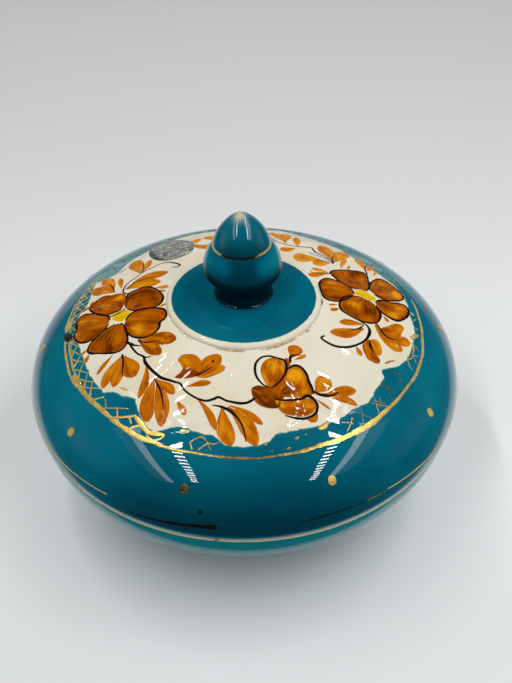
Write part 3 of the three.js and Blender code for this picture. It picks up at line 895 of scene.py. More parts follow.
for path, widths in (
    ([(8.4, -48), (6.2, -46.3), (4.3, -43.6), (3.7, -40.5), (4.2, -37.2), (6.2, -34.7), (9.2, -33.9),
      (12, -34.7), (14.3, -35.2), (15.4, -37.2), (15.2, -40.6), (13.6, -43.8), (11.2, -46.6), (10, -47.4)],
     [0.6, 1, 1.1, 0.9, 1, 1.2, 1.0, 0.7]),
    ([(14.9, -40.2), (16.4, -38.7), (18.7, -37.7), (21, -38.6), (22.8, -41.4), (23.4, -44.2), (24.4, -46.6),
      (25, -49)], [0.7, 1.1, 1.1, 1.2, 1.3, 0.9]),
    ([(10.6, -52.2), (13.4, -52.6), (17, -52.1), (20.4, -51.1), (22.6, -49.9), (24.8, -51.2), (26.1, -53.7),
      (24.9, -56.7), (21.6, -58.5), (17.4, -58.9), (14.2, -58.4)],
     [0.7, 1.1, 1.2, 1.4, 1.1, 1.2, 1.0, 0.5]),
):
    stroke(line_coat, path, widths)

# Leaves, by root, direction in degrees, length, width, and bend to the left where they have one
LEAVES = [
    # Round the blossom on the left
    (-55, 14.3, 112, 17.5, 5.2, -1.0), (-55.2, 14.6, 138, 13.5, 6.2, 0.5), (-56.6, 21, 118, 9, 5),
    (-51.5, 15.8, 100, 9.3, 2.5), (-49.2, 14.4, 24, 18.8, 7.4, 1.4), (-48.4, 14.2, 1, 13.8, 6.0, 0.3),
    (-36.6, 10.3, -4, 5.8, 2.6), (-36.2, 8.2, -19, 4.4, 1.5), (-34.3, -3.1, 18, 3.2, 1.4),
    (-62, -17.8, -135, 3.4, 1.5), (-60.9, -20.8, -110, 4.6, 2.1), (-68.4, 6.8, 40, 4.4, 2),
    (-64.5, 9.6, 75, 3.4, 1.8), (-44.4, 25.8, 103, 16.5, 7.0, 0.6), (-43.4, 26.5, 78, 11.5, 3.6),
    (-51, -25.4, -128, 9.2, 2.3),
    # Down to the front
    (-47.2, -27, -117, 14.2, 5.0, -0.3), (-47.1, -27, -98, 14, 5.0, 0.2), (-46.2, -27.4, -66, 11.8, 7.2),
    (-37.2, -33.4, -99, 14, 3.2, 1.3), (-33.6, -40, -97, 17.4, 6.2, -0.9), (-32.9, -40, -82, 20, 5.8, 0.9),
    (-32, -41, -50, 9.5, 3.6, 0.2), (-21.4, -46, 6, 9, 2.7, 0.3), (-25, -51, -60, 7, 2.6),
    (-17.4, -51.4, -60, 13.6, 2.9, 0.9), (-8.4, -54.6, -77, 14.6, 6.4, -1.0),
    (-6.4, -54.8, -54, 17.6, 5.8, 0.9), (-5.6, -54.4, -33, 14, 2.9, 0.4), (-15.2, -42.6, 27, 9, 2.9, 0.4),
    # Round the bud
    (17.4, -34.4, 66, 6.6, 6), (18.6, -35.4, 30, 5.2, 1.7), (25.6, -48.8, 50, 8.6, 6.6, 0.2),
    (29.2, -49.4, 18, 12.4, 4.6, 0.3), (25.6, -49.2, -8, 15.6, 3.2, 0.8), (25.8, -51.2, -35, 6, 1.1),
    # Round the blossom on the right
    (47.4, -12.2, -172, 10, 3.8, -0.3), (47, -14.8, -160, 14.6, 5.4, 1.6), (37.6, -2.6, -166, 3.6, 1.2),
    (38.2, -4.6, -150, 4.2, 2.3), (56.6, -3.8, -54, 3.2, 1.7), (42.9, -25, -67, 4.6, 2.2),
    (39.6, 31.4, 100, 20, 7.4, 0.2), (40.4, 32, 68, 16.6, 7.2, 0.3), (33.6, 31.6, -178, 12, 9.2, -0.6),
    (37.2, 29, -164, 7.8, 6.2), (36.4, 19.8, -158, 10.6, 3.8), (35.6, 20.4, 165, 6.8, 2.6),
    (42, 26, 72, 11.4, 2.4, 0.4), (45, 26.4, 72, 4.4, 1.4), (53.2, 29.4, 99, 13, 4.4),
    (54.2, 30, 66, 8.4, 3), (56.6, 27.6, 66, 6.2, 1.3), (28.2, 20.4, -62, 6, 1.6),
    # At the back
    (19.6, 46.6, 108, 19, 5.2), (18.6, 47, 84, 17, 5.6), (24.2, 43.6, 88, 12.6, 3.8),
    (23, 40.6, -150, 7.6, 5.2), (-24, 49.6, 62, 8.4, 5.0), (-22.6, 48.6, -46, 10, 5.4),
    (-6, 50, 150, 14, 5.4), (-4, 48, 190, 11, 4.2), (6, 52, 60, 13, 5.0), (3, 50, 100, 12, 4.2),
]
# Painted light: the leaves are made lighter towards the back of the lid
for x, y, degrees, length, width, *bend in LEAVES:
    leaf(leaf_coat, (x, y), degrees, length, width, *bend, tone=0.5 + 0.3 * float(smooth((y - 5) / 15)))
leaf(petal_coat, (-40.6, -20.3), -12, 14.8, 7.2, 0.3)
leaf(petal_coat, (-41, -21), -44, 12.8, 5.4)
# Hairlines that the brush left in two petals
for x, y, degrees, length in (
    (-65.6, -1.5, -8, 6), (-65.2, -3, -2, 6.4), (-64.6, -4.6, 4, 6), (-63.8, -6.2, 10, 5.4),
    (-62, -7.6, 16, 4), (-57.6, -14.6, 52, 6), (-56, -15.6, 58, 6.4), (-54.2, -16.6, 64, 6.6),
    (-52.4, -17.4, 70, 6), (-50.8, -18, 78, 5),
):
    start, run = np.array([x, y]), length * heading(degrees)
    middle = start + run / 2 + 0.5 * heading(degrees + 90)
    stroke(heart_coat, [start, middle, start + run], [0.1, 0.22, 0.1], tone=0.1, lift=0.1)

# The half-open blossom between the stems, and the leaves that lie over each other at the right
for outline, tip, look in (
    ([(52.8, -8.9), (52.1, -11.4), (52.7, -14.6), (53.6, -17.9), (55.1, -20.4), (56.9, -22.5),
      (58.8, -23.4), (60.7, -22.8), (62.2, -21.4), (62.2, -19.4), (61.4, -17.4), (59.4, -16), (57.5, -15.2),
      (55.6, -14), (54.3, -12.1), (53.7, -9.6)], 8, dict(tone=0.42, glows=[(58, -20.5, 2.2, 0.3)])),
    ([(54, -13.2), (55.8, -10.7), (57.8, -9.2), (59.9, -7.1), (62.2, -5.8), (64, -5.9), (64.8, -8),
      (63.3, -10.9), (62.6, -13.6), (61, -16.4), (58.4, -16.9), (55.4, -15.2)], 6,
     dict(tone=0.6, glows=[(55.5, -13, 2.2, -0.35)], lift=0.06)),
    ([(59.7, -17), (61.6, -14.4), (63.6, -12.9), (65.3, -13.4), (66.2, -15.5), (65.6, -17.3), (63.6, -18.6),
      (62.1, -18.5), (60.7, -18.1)], 4, dict(tone=0.62, glows=[(60.5, -16.8, 1.6, -0.3)], lift=0.07)),
    ([(46.6, -20.7), (45.8, -22.7), (45.5, -25.7), (46.2, -28.3), (47.1, -30.5), (48.5, -30.9),
      (50.1, -31.7), (51.5, -31.2), (52, -29.6), (51.3, -28.1), (50.1, -26.3), (49.3, -24), (48.7, -21.6),
      (48.3, -20.2)], 7, dict(tone=0.4, glows=[(47, -22, 2.2, -0.25)])),
    ([(48.8, -20.6), (50.3, -19.6), (52.1, -19.7), (53, -21.5), (53.3, -23.9), (53, -26.2), (52, -27.6),
      (50.6, -27.2), (49.2, -25.6), (48.8, -23.3)], 6, dict(tone=0.6, lift=0.06)),
    ([(-19.5, -40.2), (-22.7, -38.4), (-24, -35.7), (-25.2, -33.3), (-23.9, -31.5), (-21.5, -31.3),
      (-18.9, -32.1), (-16.8, -34.2), (-15.6, -37.3), (-16, -40.4)], 4,
     dict(tone=0.6, glows=[(-17, -38, 2.2, -0.2)])),
    ([(-18.5, -41.9), (-16.9, -39.4), (-16.5, -36.2), (-14.9, -33.9), (-12.1, -32.6), (-9.5, -32.8),
      (-8.5, -34.7), (-9, -37.4), (-11.5, -39.4), (-14.8, -41.2)], 5,
     dict(tone=0.52, glows=[(-16.2, -39.4, 2.2, -0.25)], lift=0.06)),
    ([(-17.8, -42.2), (-13.9, -40.2), (-10.6, -38.1), (-8.3, -37.7), (-7.3, -39), (-8.3, -40.7),
      (-11.5, -42.3), (-14.3, -43.3), (-16.1, -42.9)], 4, dict(tone=0.5, lift=0.07)),
    ([(-16.2, -41.6), (-16.8, -40.5), (-19, -39.2), (-21.4, -38.1), (-23, -37.8), (-23.7, -39.4),
      (-24.9, -40.3), (-25.9, -41.4), (-23.1, -42.4), (-19.8, -42.5)], 7, dict(tone=-0.1, lift=0.08)),
):
    patch(leaf_coat, outline, tip, rows=16, columns=9, **look)

# Stems and veins
for path, widths in (
    ([(-46.4, -19.6), (-44.6, -21.2), (-43.3, -24), (-41, -27.6), (-38.4, -29.8), (-37.6, -32.6),
      (-34.8, -36.6), (-31, -40.2), (-26.4, -43), (-23.8, -44.4), (-22.4, -47), (-18.6, -50.4),
      (-14.6, -52.2), (-11.4, -51.6), (-9.6, -50.9), (-6, -52.6), (-2, -53.8), (1, -53.6), (3.6, -52)],
     [1.5, 0.9, 0.8, 1.4, 1.2, 1.3, 0.9, 0.8, 0.9, 1.1, 0.9, 1.2, 1.0]),
    ([(-38.4, -29.8), (-37, -30.4), (-35.4, -30.2)], [0.9, 0.6, 0.3]),
    ([(-44, -21.4), (-42.4, -23), (-39.8, -24)], [1.2, 0.9, 0.4]),
    ([(-41.2, -20.4), (-39, -22.4), (-36.4, -23.2), (-32.2, -23.2)], [0.9, 0.8, 0.6, 0.3]),
    ([(-30.6, -22.4), (-29.8, -22.4)], [0.9, 0.5]),
    ([(-47, -26.2), (-46.3, -31), (-46.2, -37.2)], [0.9, 0.9, 0.3]),
    ([(-33.6, -40.2), (-31.4, -45), (-30.2, -50), (-29.8, -53.6)], [0.6, 0.9, 0.7, 0.3]),
    ([(-18.3, -41.8), (-15.2, -40.6), (-11.5, -38.3)], [0.9, 0.7, 0.4]),
    ([(-12.2, -36.1), (-11.4, -35.9)], [1.3, 1.0]),
    ([(-12, -54), (-8.6, -54.6), (-5.6, -56.4), (-2.4, -60), (-0.6, -64), (0, -67.6)],
     [0.3, 1.2, 1.3, 0.8, 0.7, 0.4]),
    ([(17, -36.4), (17.2, -33.8), (19.4, -33), (21, -33)], [0.9, 1.2, 0.8, 0.3]),
    ([(24.6, -47.6), (26.6, -49), (29.4, -49.5), (32, -49), (34.2, -47.6)], [0.5, 1.2, 1.3, 1.1, 0.5]),
    ([(45.6, -10.2), (48.6, -12.2), (49.5, -15.4), (47.8, -20), (44.6, -23.4), (40.4, -25.8), (36.4, -26.4),
      (32.6, -25.4), (29.6, -23.2), (30.8, -21.8)], [0.7, 1.1, 1.5, 1.0, 1.0, 1.2, 1.1, 1.2, 0.8]),
    ([(47.2, -12.8), (45.2, -15.2), (42.8, -16.4), (40.6, -16.6)], [0.5, 0.9, 0.7, 0.3]),
    ([(53.3, -9.7), (54, -12.2), (55.3, -15), (57.1, -16.8), (59.9, -16.6)], [0.9, 1.1, 1.2, 1.0, 0.4]),
    ([(48.7, -20.5), (49, -23.7), (50, -26.5)], [0.7, 1.3, 0.4]),
    ([(38.9, 29.4), (39, 34), (40, 38), (41.2, 42)], [0.9, 0.7, 0.5, 0.2]),
    ([(38.2, 29.4), (34.6, 30.6), (31, 30.2)], [0.4, 0.7, 0.2]),
    ([(37.2, 19.8), (34, 19.2), (30.6, 18)], [0.7, 0.7, 0.3]),
    ([(53.8, 26.8), (53.4, 31), (55.2, 38)], [0.9, 0.7, 0.3]),
    ([(-49.6, 14), (-46.6, 17), (-43, 18.6), (-38.4, 18.8)], [0.3, 0.7, 0.7, 0.2]),
    ([(-54.4, 14.4), (-55.6, 18.6), (-57.6, 22.2)], [0.6, 0.8, 0.3]),
    ([(-43.9, 26), (-43.4, 31), (-44, 36)], [0.4, 0.8, 0.3]),
    ([(-48, 10.2), (-50.4, 12.6), (-50.2, 16.2), (-48.6, 19.2), (-45.4, 22.6), (-43, 26), (-39.6, 29),
      (-37.4, 31)], [0.5, 0.8, 0.7, 0.6, 0.5, 0.6, 0.6, 0.4]),
    ([(-37.4, 31), (-33, 31), (-29.6, 28.8), (-27.2, 26.6), (-28.4, 25), (-30.2, 25.8)],
     [0.3, 0.5, 0.8, 1.0, 0.8, 0.4]),
    ([(39.6, 30.6), (36, 35.4), (32.6, 39.8), (31.4, 43), (30.6, 45), (28, 44.2), (22, 43.4), (17, 46),
      (14, 50), (12.4, 56)], [0.5, 0.6, 0.7, 1.0, 0.6, 0.4, 0.5, 0.6, 0.5, 0.3]),
    ([(39.2, 30), (34.4, 34.6), (28.6, 39.4)], [0.5, 0.5, 0.2]),
    ([(-18, 44), (-12, 48), (-5, 49), (2, 49.4), (8, 51)], [0.3, 0.6, 0.5, 0.6, 0.3]),
):
    stroke(line_coat, path, widths)

petal_coat.make("blossom_petals", PETAL_PAINT)
heart_coat.make("blossom_hearts", YELLOW_PAINT)
leaf_coat.make("leaves", LEAF_PAINT)
line_coat.make("outlines_and_stems", BLACK_PAINT)


# Gilding

GOLD_ON_TEAL = gilded("gold_on_teal", TEAL_DEEP)
GOLD_ON_CREAM = gilded("gold_on_cream", colour(226, 214, 180))
ring = band_radius - 0.15  # radius of the gold line


def round_line(start, end, r, widths, tone):
    """A brushed line round the lid, from one azimuth to another, in degrees."""
    turns = np.linspace(start, end, max(5, int(abs(end - start) / 3)))
    wander = 0.25 * np.sin(turns * 0.19) + 0.1 * np.sin(turns * 0.53 + 1)
    stroke(gold_coat, polar_path(zip(turns, r + wander)), widths, steps=3, tone=tone, wobble=0.12)


gold_coat = Coat(0.06)
# Tone by stretch: real wear and tarnish where it is low, and a painted highlight in the brighter gold at
# the front left and front right
for start, end, r, widths, tone in (
    (150, 187, ring, [0.5, 0.8, 0.7], 0.72), (155, 187, ring - 1.7, [0.3, 0.7, 0.5], 0.66),
    (187, 209, ring + 0.2, [0.6, 1.0, 0.9, 1.1], 0.92), (186, 209, ring - 1.6, [0.5, 0.9, 0.8, 0.9], 0.86),
    (204, 230, ring - 0.8, [0.9, 1.9, 2.0, 1.8, 1.0], 0.92),
    (227, 246, ring - 0.4, [1.3, 1.8, 1.7, 1.2], 0.92), (244, 264, ring - 0.1, [1.2, 0.9, 0.8, 0.7], 0.64),
    (262, 281, ring - 0.1, [0.8, 0.9, 0.7, 0.8], 0.58), (279, 292, ring, [0.7, 1.2, 1.5], 0.6),
    (290, 331, ring - 0.1, [1.4, 1.8, 2.2, 1.6, 1.1, 0.9], 0.95),
    (331, 372, ring, [1.1, 1.2, 1.1, 0.7], 0.78), (372, 440, ring, [0.5, 0.6, 0.4, 0.6], 0.5),
    (440, 510, ring, [0.7, 0.5, 0.7, 0.5], 0.58),
):
    round_line(start, end, r, widths, tone)


def net(start, end, pitch, slant, low, high, width, tone):
    """Scribbled slanting strokes between the gold line and the cream, leaning one way."""
    for k in range(int((end - start) / pitch) + 1):
        a = start + k * pitch + 0.5 * math.sin(5.1 * k)
        inner = float(cream_edge(math.radians(a + slant))) + low + 0.5 * math.sin(2.3 * k)
        outer = ring + high
        middle = polar(a + 0.5 * slant + 0.3 * math.sin(3.7 * k), (inner + outer) / 2)
        stroke(gold_coat, [polar(a, outer), middle, polar(a + slant, inner)],
               [width, 0.75 * width, 0.5 * width], tone=tone + 0.1 * math.sin(1.9 * k))


# The nets at the front left take high tones too: a painted highlight beside real wear
net(152, 186, 3.4, 4.2, 0.2, -0.3, 0.6, 0.72)
net(154, 188, 3.4, -4.0, 0.4, -0.3, 0.6, 0.7)
net(188, 212, 4.6, 4.6, 0.2, -1.8, 0.75, 0.84)
net(192, 216, 4.6, -4.2, 0.4, -1.8, 0.75, 0.8)
net(306, 332, 7.0, 3.2, 0.5, -0.5, 0.4, 0.56)
net(310, 334, 7.5, -3.5, 0.5, -0.8, 0.4, 0.54)
net(376, 508, 5.6, 3.6, 0.3, -0.3, 0.4, 0.5)
net(379, 508, 5.6, -3.4, 0.3, -0.3, 0.4, 0.49)

# Bricks, a wash and loose marks that were drawn by hand, by azimuth and radius
for marks, widths, tone in (
    ([(217.2, 71.8), (219.6, 68.4)], [0.8, 0.5], 0.8), ([(220.5, 68.6), (223, 70.5)], [0.5, 0.4], 0.62),
    ([(221.5, 71.9), (224.1, 70.1), (226.9, 68), (229.8, 66.4)], [0.4, 0.5, 0.4], 0.66),
    ([(227.5, 71.8), (229.9, 70), (232, 68.3), (233.6, 67)], [0.7, 0.9, 0.7], 0.85),
    ([(226.3, 68.4), (228.5, 70.7)], [0.5, 0.7], 0.8), ([(228.8, 71), (229.6, 71.7)], [0.6, 0.8], 0.8),
    ([(231.5, 68.3), (233.8, 70.3)], [0.9, 0.6], 0.8),
    ([(234.3, 72.7), (234.8, 71.2), (236.4, 69.6)], [1.0, 0.9], 0.85),
    ([(232.9, 67.3), (235.1, 68.1), (238.2, 69.6), (240.2, 70.4), (242.1, 70.1), (243.9, 69.6),
      (245.3, 69.4)], [0.8, 1.8, 2.1, 1.7, 1.5, 1.6, 0.9], 0.88),
    ([(240.1, 71.6), (242.5, 72.4), (244.1, 71.6), (245.3, 70)], [0.6, 0.8, 0.7], 0.78),
    ([(253.3, 69.9), (254.9, 67.9), (256.8, 67), (258.4, 68.5), (260, 71.1)], [0.5, 0.6, 0.6, 0.4], 0.58),
    ([(253.6, 69.8), (254.6, 71.7)], [0.5, 0.6], 0.62),
    ([(256.4, 71.7), (258, 69.6), (259.7, 68.7)], [0.5, 0.7], 0.62),
    ([(260, 69.2), (262.4, 68)], [0.5, 0.3], 0.6),
    ([(300.1, 67.9), (302.8, 69.6), (303.7, 70.7)], [0.4, 0.6, 0.3], 0.56),
    ([(304.7, 68.3), (302.2, 70.5), (300.4, 71.8)], [0.6, 0.5, 0.3], 0.58),
    ([(295.7, 69.5), (296.2, 72.4)], [0.3, 0.5], 0.56),
    ([(275.3, 69), (276.1, 68.8)], [0.5, 0.9, 0.5], 0.58),
    ([(277, 71.4), (277.7, 71.4)], [0.4, 0.7, 0.4], 0.54),
    ([(281.6, 71.5), (282.6, 71.2)], [0.4, 0.8, 0.4], 0.6),
    ([(284.7, 68.4), (286, 68.1)], [0.5, 1.1, 0.5], 0.6),
    ([(330.4, 62.1), (332.3, 63), (334.1, 64.4)], [1.0, 0.8, 0.4], 0.6),
    ([(338.4, 68.3), (339.8, 69.7), (341.7, 70.5), (342.2, 71.9)], [0.7, 0.6, 0.4], 0.72),
    ([(338.2, 68.5), (336.5, 69.8), (335.1, 71.8)], [0.6, 0.5, 0.3], 0.68),
    ([(340.5, 70.9), (338.9, 71.9)], [0.4, 0.3], 0.66),
    ([(347.5, 68.5), (346.1, 69.4), (343.8, 69.8), (341.2, 69.7)], [0.5, 0.9, 0.6, 0.3], 0.76),
    ([(346.6, 70.2), (344.9, 71.7)], [0.4, 0.3], 0.66), ([(3.8, 70), (2.8, 71)], [1.2, 0.8], 0.74),
    ([(349.6, 67.9), (351.5, 69.3), (352.5, 71.1), (350.6, 69.9), (349, 68.5)], [0.9, 0.8, 0.9, 0.8], 0.8),
    ([(359.8, 70.2), (0.8, 71.5)], [0.6, 0.4], 0.7), ([(355.4, 70.4), (355.5, 71.3)], [0.5, 0.8, 0.4], 0.7),
    ([(288.1, 67.9), (288.6, 67.8)], [0.4, 0.6, 0.4], 0.56),
    ([(292.8, 67.2), (294.8, 67), (296.6, 66.2)], [1.0, 2.2, 1.2], 0.6),
):
    stroke(gold_coat, polar_path(marks), widths, tone=tone)
# A cross at the front right
middle = polar(316, 69.4)
for degrees in (354, 444):
    arm = 2.4 * heading(degrees)
    stroke(gold_coat, [middle - arm, middle, middle + arm], [0.25, 0.45, 0.25], tone=0.56)
# Traces of gold that strayed over the edge of the cream
for a, r, turn, length, width in (
    (221.5, 62.6, 330, 4.0, 1.1), (150.5, 62, 70, 4.6, 2.4), (249, 66.6, 350, 4, 1.1),
):
    leaf(gold_coat, polar(a, r), turn, length, width, tone=0.72)
# A blob of gold on the line
blob = polar_path([(176.8, 73.6), (180, 74), (182.4, 73.2), (181.4, 71.4), (178, 71.8)])
patch(gold_coat, blob, 2, tone=0.7, rows=8, columns=7)
gold_coat.make("gold_line_and_net", GOLD_ON_TEAL)

# A burnt spot where the gold line was started
spot_coat = Coat(0.12)
spot = polar_path([(182.9, 73.2), (184.5, 73.9), (187.2, 73), (188, 71.2), (186.4, 70), (183.7, 71.4)])
patch(spot_coat, spot, 3, tone=0.43, rows=8, columns=7)
spot_coat.make("burnt_spot", GOLD_ON_TEAL)


def on_shoulder(azimuth, angle, lift):
    """A place on the lid's rounded shoulder, by azimuth and by its angle up from the side."""
    out, up = np.cos(angle) / SHOULDER_REACH, np.sin(angle) / SHOULDER_HEIGHT
    size = np.hypot(out, up)
    r = shoulder_centre + SHOULDER_REACH * np.cos(angle) + lift * out / size
    z = side_height + SHOULDER_HEIGHT * np.sin(angle) + lift * up / size
    return np.stack([r * np.cos(azimuth), r * np.sin(azimuth), z], -1)


def on_side(x, y, lift):
    """A place on the lid's side, by its run round the lid in millimetres and its height."""
    return on_shoulder(x / lid_radius, np.arcsin((y - side_height) / SHOULDER_HEIGHT), lift)


# Dots at even steps round the shoulder, one of them burnt brown
DOTS = 10
DOT_RADIUS, DOT_WIDTH, DOT_HEIGHT = 83.6, 3.0, 3.6
dot_angle = math.acos((DOT_RADIUS - shoulder_centre) / SHOULDER_REACH)
pace = math.hypot(SHOULDER_REACH * math.sin(dot_angle), SHOULDER_HEIGHT * math.cos(dot_angle))
share = np.sin(math.pi / 2 * steps_between(-1, 1, 9, 0.03))
wide, tall = np.meshgrid(share, share, indexing="ij")
wide, tall = wide * np.sqrt(1 - tall * tall / 2), tall * np.sqrt(1 - wide * wide / 2)
dot_coat = Coat(0.16, on_shoulder)
for k in range(DOTS):
    azimuth = math.radians(360 * k / DOTS - 177)
    dot_coat.add(azimuth + wide * DOT_WIDTH / 2 / DOT_RADIUS, dot_angle + tall * DOT_HEIGHT / 2 / pace,
                 share * DOT_WIDTH, share, 0.5 if k == 2 else 0.95)
dot_coat.make("gold_dots", GOLD_ON_TEAL)

# The line round the side: brushed gold, black and brown at the front, partly burnt and partly a painted
# dark reflection in the gold, by azimuth and height
side_coat = Coat(0.05, on_side)
burnt_and_reflection_coat = Coat(0.05, on_side)
for coat, path, widths, tone in (
    (side_coat, [(196, 50.4), (208, 50), (222, 51), (235.6, 52.2)], [0.5, 0.8, 0.7, 0.4], 0.72),
    (burnt_and_reflection_coat, [(241.8, 49), (250, 50), (257, 51), (262.8, 51.6)], [0.7, 1.2, 1.6, 2.2], 0.5),
    (burnt_and_reflection_coat, [(259.1, 56.9), (259.6, 56.9)], [1.3, 1.6, 1.3], 0.5),
    (burnt_and_reflection_coat, [(281.7, 52.1), (290, 52.2), (298.8, 51.8)], [0.3, 0.7, 0.3], 0.5),
    (side_coat, [(299, 51.9), (304, 51.8)], [0.5, 0.8, 0.4], 0.5),
    (side_coat, [(305, 52), (313, 51.2), (325, 50)], [0.4, 0.8, 0.5], 0.74),
    (side_coat, [(325, 50.2), (345, 50.6), (372, 51)], [0.4, 0.6, 0.4], 0.66),
    (side_coat, [(371, 50.6), (400, 51), (430, 50.4), (462, 51)], [0.4, 0.6, 0.5, 0.4], 0.6),
    (side_coat, [(460, 50.6), (490, 50.8), (520, 50.3), (557, 50.6)], [0.4, 0.6, 0.6, 0.4], 0.62),
):
    places = [(math.radians(a) * lid_radius, z) for a, z in path]
    stroke(coat, places, widths, steps=14, tone=tone, wobble=0.12)
burnt_and_reflection_coat.make("side_line_burnt_and_reflected", BLACK_PAINT)
side_coat.make("side_line", GOLD_ON_TEAL)


def gold_ring(name, path, lift, material, body, tone, tip=None):
    """A thin line all round, from its path along the profile; tone is by azimuth in degrees.

    Tip is the function that leans its points, where the line is on the knob.
    """
    _, left = directions(path)
    lifts = np.full((len(path), 1), lift)
    lifts[[0, -1]] = 0
    profile = np.concatenate([path - left * lifts, (path + left * RING_SUNK)[::-1]])
    points, faces, index = turned(profile, 360, closed=True)
    degrees = np.degrees(np.arctan2(points[:, 1], points[:, 0])) % 360
    attributes = {"brush": np.stack([degrees, index, np.zeros(len(index))], 1),
                  "tone": np.interp(degrees, *np.transpose(tone), period=360)}
    write_mesh(name, tip(points) if tip else points, faces, material, body, attributes)


gold_ring("rim_line", arc((BOWL_RADIUS - RIM_ROUND, bend_height), RIM_ROUND, -0.1, 1.0, 6),
          0.04, GOLD_ON_CREAM, "bowl",
          [(0, 0.25), (90, 0.4), (180, 0.3), (215, 0.34), (240, 0.2), (300, 0.18)])
step_foot = np.linspace(band_top_radius + 0.9, band_top_radius - 0.1, 5)
gold_ring("step_line", np.stack([step_foot, band_surface(step_foot)], 1), 0.03,
          gilded("faded_line", CREAM, 0.25), "lid", [(0, 0.5), (180, 0.4), (270, 0.62)])
# The crease line's tone is lowest at the front, where a dark reflection in its gold is painted in
profile = knob_profile()
crease = int(np.argmin(np.abs(profile[:, 1] - knob_seat_height - KNOB_CREASE_HEIGHT)))
gold_ring("crease_line", profile[crease - 1:crease + 2], 0.05, gilded("crease_gilding", TEAL_DEEP, -0.3),
          "lid",
          [(0, 0.68), (90, 0.6), (200, 0.7), (224, 0.6), (242, 0.34), (288, 0.32), (308, 0.64)], lean)


# Foil label

def foil():
    """The oval sticker, from the middle of its back out to the rim and in again over its front."""
    spokes = 96
    share = np.append(np.linspace(0, 0.985, 22), 1.0)
    turns = np.arange(spokes) * 2 * math.pi / spokes
    s, a = np.meshgrid(np.concatenate([share, share[::-1]]), turns, indexing="ij")
    p, q = FOIL_LENGTH / 2 * s * np.cos(a), FOIL_WIDTH / 2 * s * np.sin(a)
    centre = polar(FOIL_AZIMUTH, band_radius - FOIL_INSET)
    ahead, side = heading(FOIL_TURN), heading(FOIL_TURN + 90)
    x, y = (centre[k] + p * ahead[k] + q * side[k] for k in (0, 1))
    waves = 0.04 * np.sin(1.3 * p + 0.6 * q) + 0.03 * np.sin(0.9 * q - 0.5 * p + 2)
    lift = FOIL_TOP + waves - FOIL_CURL * (s == 1)
    lift[:len(share)] = FOIL_BACK
    points = on_lid(x, y, lift).reshape(-1, 3)
    grid = np.arange(len(points)).reshape(x.shape)
    faces = [face[::-1] for face in grid_faces(np.hstack([grid, grid[:, :1]]))]
    # Where the painted shade of the crumpled fold lies, at one end of the label
    crumple_shade = smooth((0.9 * q - 0.25 * p - 6.6) / 2).ravel()
    return write_mesh("foil_sticker", points, faces, foil_metal(), "lid", {"crumple_shade": crumple_shade})


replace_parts(foil(), "foil_label")


# Floor, light and camera, in metres

BACKDROP = colour(222, 223, 223)
FLOOR_REACH = 4.0
ROOF = 0.6
LAMP_PITCH = 0.043


def floor():
    """Pale paper, lifted a little towards the picture's edges by a painted glow, that melts into the
    backdrop.
    """
    finish = Finish("floor_paper")
    across, far = finish.place.part(0), finish.place.part(1)
    rays = node(finish.tree, "ShaderNodeLightPath")
    camera_ray = Signal(rays, "Is Camera Ray")
    seen = camera_ray.maths("MAXIMUM", Signal(rays, "Is Glossy Ray"))
    # Painted light: the paper glows a little, more away from the camera, in camera and glossy rays
    painted_glow = far.ramp(-0.10, -0.02, 0.0, 0.14) + far.ramp(0.1, 0.6, 0.0, 0.11)
    beyond = (far * -1.0 - 0.15).maths("MAXIMUM", far - 0.62)
    beyond = (across.maths("ABSOLUTE") - 0.35).maths("MAXIMUM", beyond)
    outer = camera_ray * beyond.ramp(0.0, 0.55, 0.0, 0.42)
    finish.set(Base_Color=far.ramp(0.15, 0.75).mix(colour(230, 232, 233), colour(232, 233, 231)),
               Roughness=0.5, Emission_Color=(1, 1, 1, 1), Emission_Strength=seen * painted_glow + outer)
    backdrop = node(finish.tree, "ShaderNodeEmission", {"Color": BACKDROP})
    blend = camera_ray * finish.place.length().ramp(0.8, 1.7)
    mixed = node(finish.tree, "ShaderNodeMixShader", {
        0: blend, 1: Signal(finish.shader), 2: Signal(backdrop)})
    feed(finish.output.inputs["Surface"], Signal(mixed))
    mesh = bpy.data.meshes.new("floor")
    corners = [(x * FLOOR_REACH, y * FLOOR_REACH, 0) for x, y in ((-1, -1), (1, -1), (1, 1), (-1, 1))]
    mesh.from_pydata(corners, [], [(0, 1, 2, 3)])
    mesh.materials.append(finish.material)
    piece = bpy.data.objects.new("floor", mesh)
    bpy.context.scene.collection.objects.link(piece)


def world():
    """A light tent: bright low down and behind, darker overhead and towards the camera."""
    made = bpy.data.worlds.new("tent")
    made.use_nodes = True
    tree = made.node_tree
    tree.nodes.clear()
    direction = Signal(node(tree, "ShaderNodeTexCoord"), "Generated")
    level = direction.part(2).ramp(0.0, 0.6, 0.8, 0.1) * direction.part(1).ramp(-0.65, 0.2, 0.05, 1.0)
    light = node(tree, "ShaderNodeBackground", {"Color": (1, 1, 1, 1), "Strength": level})
    seen = node(tree, "ShaderNodeBackground", {"Color": BACKDROP, "Strength": 1.0})
    ray = Signal(node(tree, "ShaderNodeLightPath"), "Is Camera Ray")
    mixed = node(tree, "ShaderNodeMixShader", {0: ray, 1: Signal(light), 2: Signal(seen)})
    node(tree, "ShaderNodeOutputWorld", {0: Signal(mixed)})
    bpy.context.scene.world = made


def lamp(name, place, size, radiance, axes=Matrix.Identity(3)):
    """A rectangular lamp that shines down, with its radiance rather than its power."""
    data = bpy.data.lights.new(name, "AREA")
    data.shape = "RECTANGLE"
    data.size, data.size_y = size
    data.energy = radiance * math.pi * size[0] * size[1]
    made = bpy.data.objects.new(name, data)
    made.matrix_world = Matrix.Translation(place) @ axes.to_4x4()
    made.visible_camera = False
    bpy.context.scene.collection.objects.link(made)


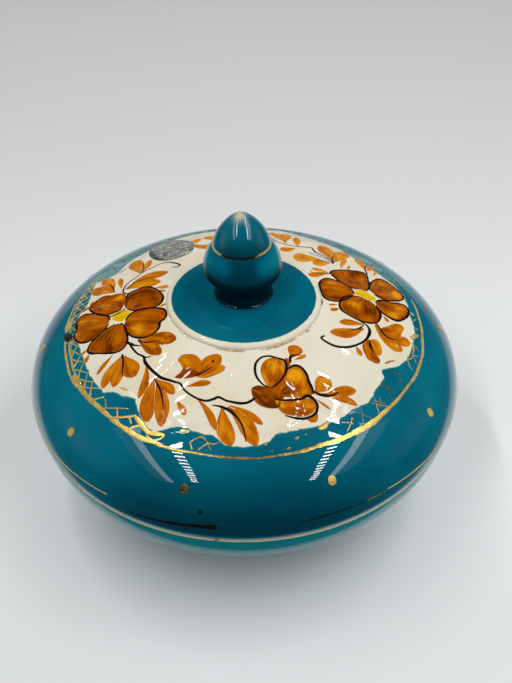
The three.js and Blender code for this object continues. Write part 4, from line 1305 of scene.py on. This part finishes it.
def lamp_rows(name, path, size, radiance):
    """A strip of small lamps under the roof of the tent."""
    path = np.array(path)
    run = lengths(path)
    for k, at in enumerate(np.arange(0, run[-1], LAMP_PITCH)):
        x, y = (float(np.interp(at, run, column)) for column in path.T)
        lamp(f"{name}_{k:02d}", (x, y, ROOF), size, radiance)


def soft_lamp(name, start, end, width, radiance):
    """A long soft lamp between two places under the roof."""
    start, end = Vector((*start, ROOF)), Vector((*end, ROOF))
    along = (end - start).normalized()
    across = along.cross(Vector((0, 0, 1))).normalized()
    axes = Matrix((across, along, across.cross(along))).transposed()
    lamp(name, (start + end) / 2, (width, (end - start).length), radiance, axes)


def camera():
    """The photograph's camera: its focal length and the picture's height are in pixels."""
    focal_length, picture_height, film = 850, 683, 36
    stand = (0, -0.27217, 0.29335)
    pitch, roll, yaw = math.radians(40.53), math.radians(-0.20), math.radians(1.02)
    forward = Vector((math.sin(yaw) * math.cos(pitch), math.cos(yaw) * math.cos(pitch), -math.sin(pitch)))
    right = forward.cross(Vector((0, 0, 1))).normalized()
    up = right.cross(forward)
    tilted_right = math.cos(roll) * right + math.sin(roll) * up
    tilted_up = -math.sin(roll) * right + math.cos(roll) * up
    data = bpy.data.cameras.new("photo_camera")
    data.sensor_width = film
    data.lens = film * focal_length / picture_height
    data.clip_start = 0.01
    made = bpy.data.objects.new("photo_camera", data)
    bpy.context.scene.collection.objects.link(made)
    axes = Matrix((tilted_right, tilted_up, -forward)).transposed()
    made.matrix_world = Matrix.Translation(stand) @ axes.to_4x4()
    bpy.context.scene.camera = made


floor()
world()
camera()
lamp_rows("left_strip", [(-0.215, 0.21), (-0.195, 0), (-0.235, -0.34), (-0.27, -0.52)], (0.038, 0.012), 67)
lamp_rows("right_strip", [(0.245, 0.16), (0.262, 0), (0.30, -0.25), (0.38, -0.58)], (0.042, 0.012), 75)
soft_lamp("left_glow", (-0.335, 0.05), (-0.475, -0.62), 0.05, 6.0)
soft_lamp("left_wide_glow", (-0.41, 0.05), (-0.55, -0.62), 0.10, 0.5)
soft_lamp("right_glow", (0.375, 0.06), (0.54, -0.60), 0.06, 7.0)
soft_lamp("right_wide_glow", (0.48, 0.06), (0.62, -0.56), 0.15, 0.7)

bpy.context.scene.view_settings.view_transform = "Standard"
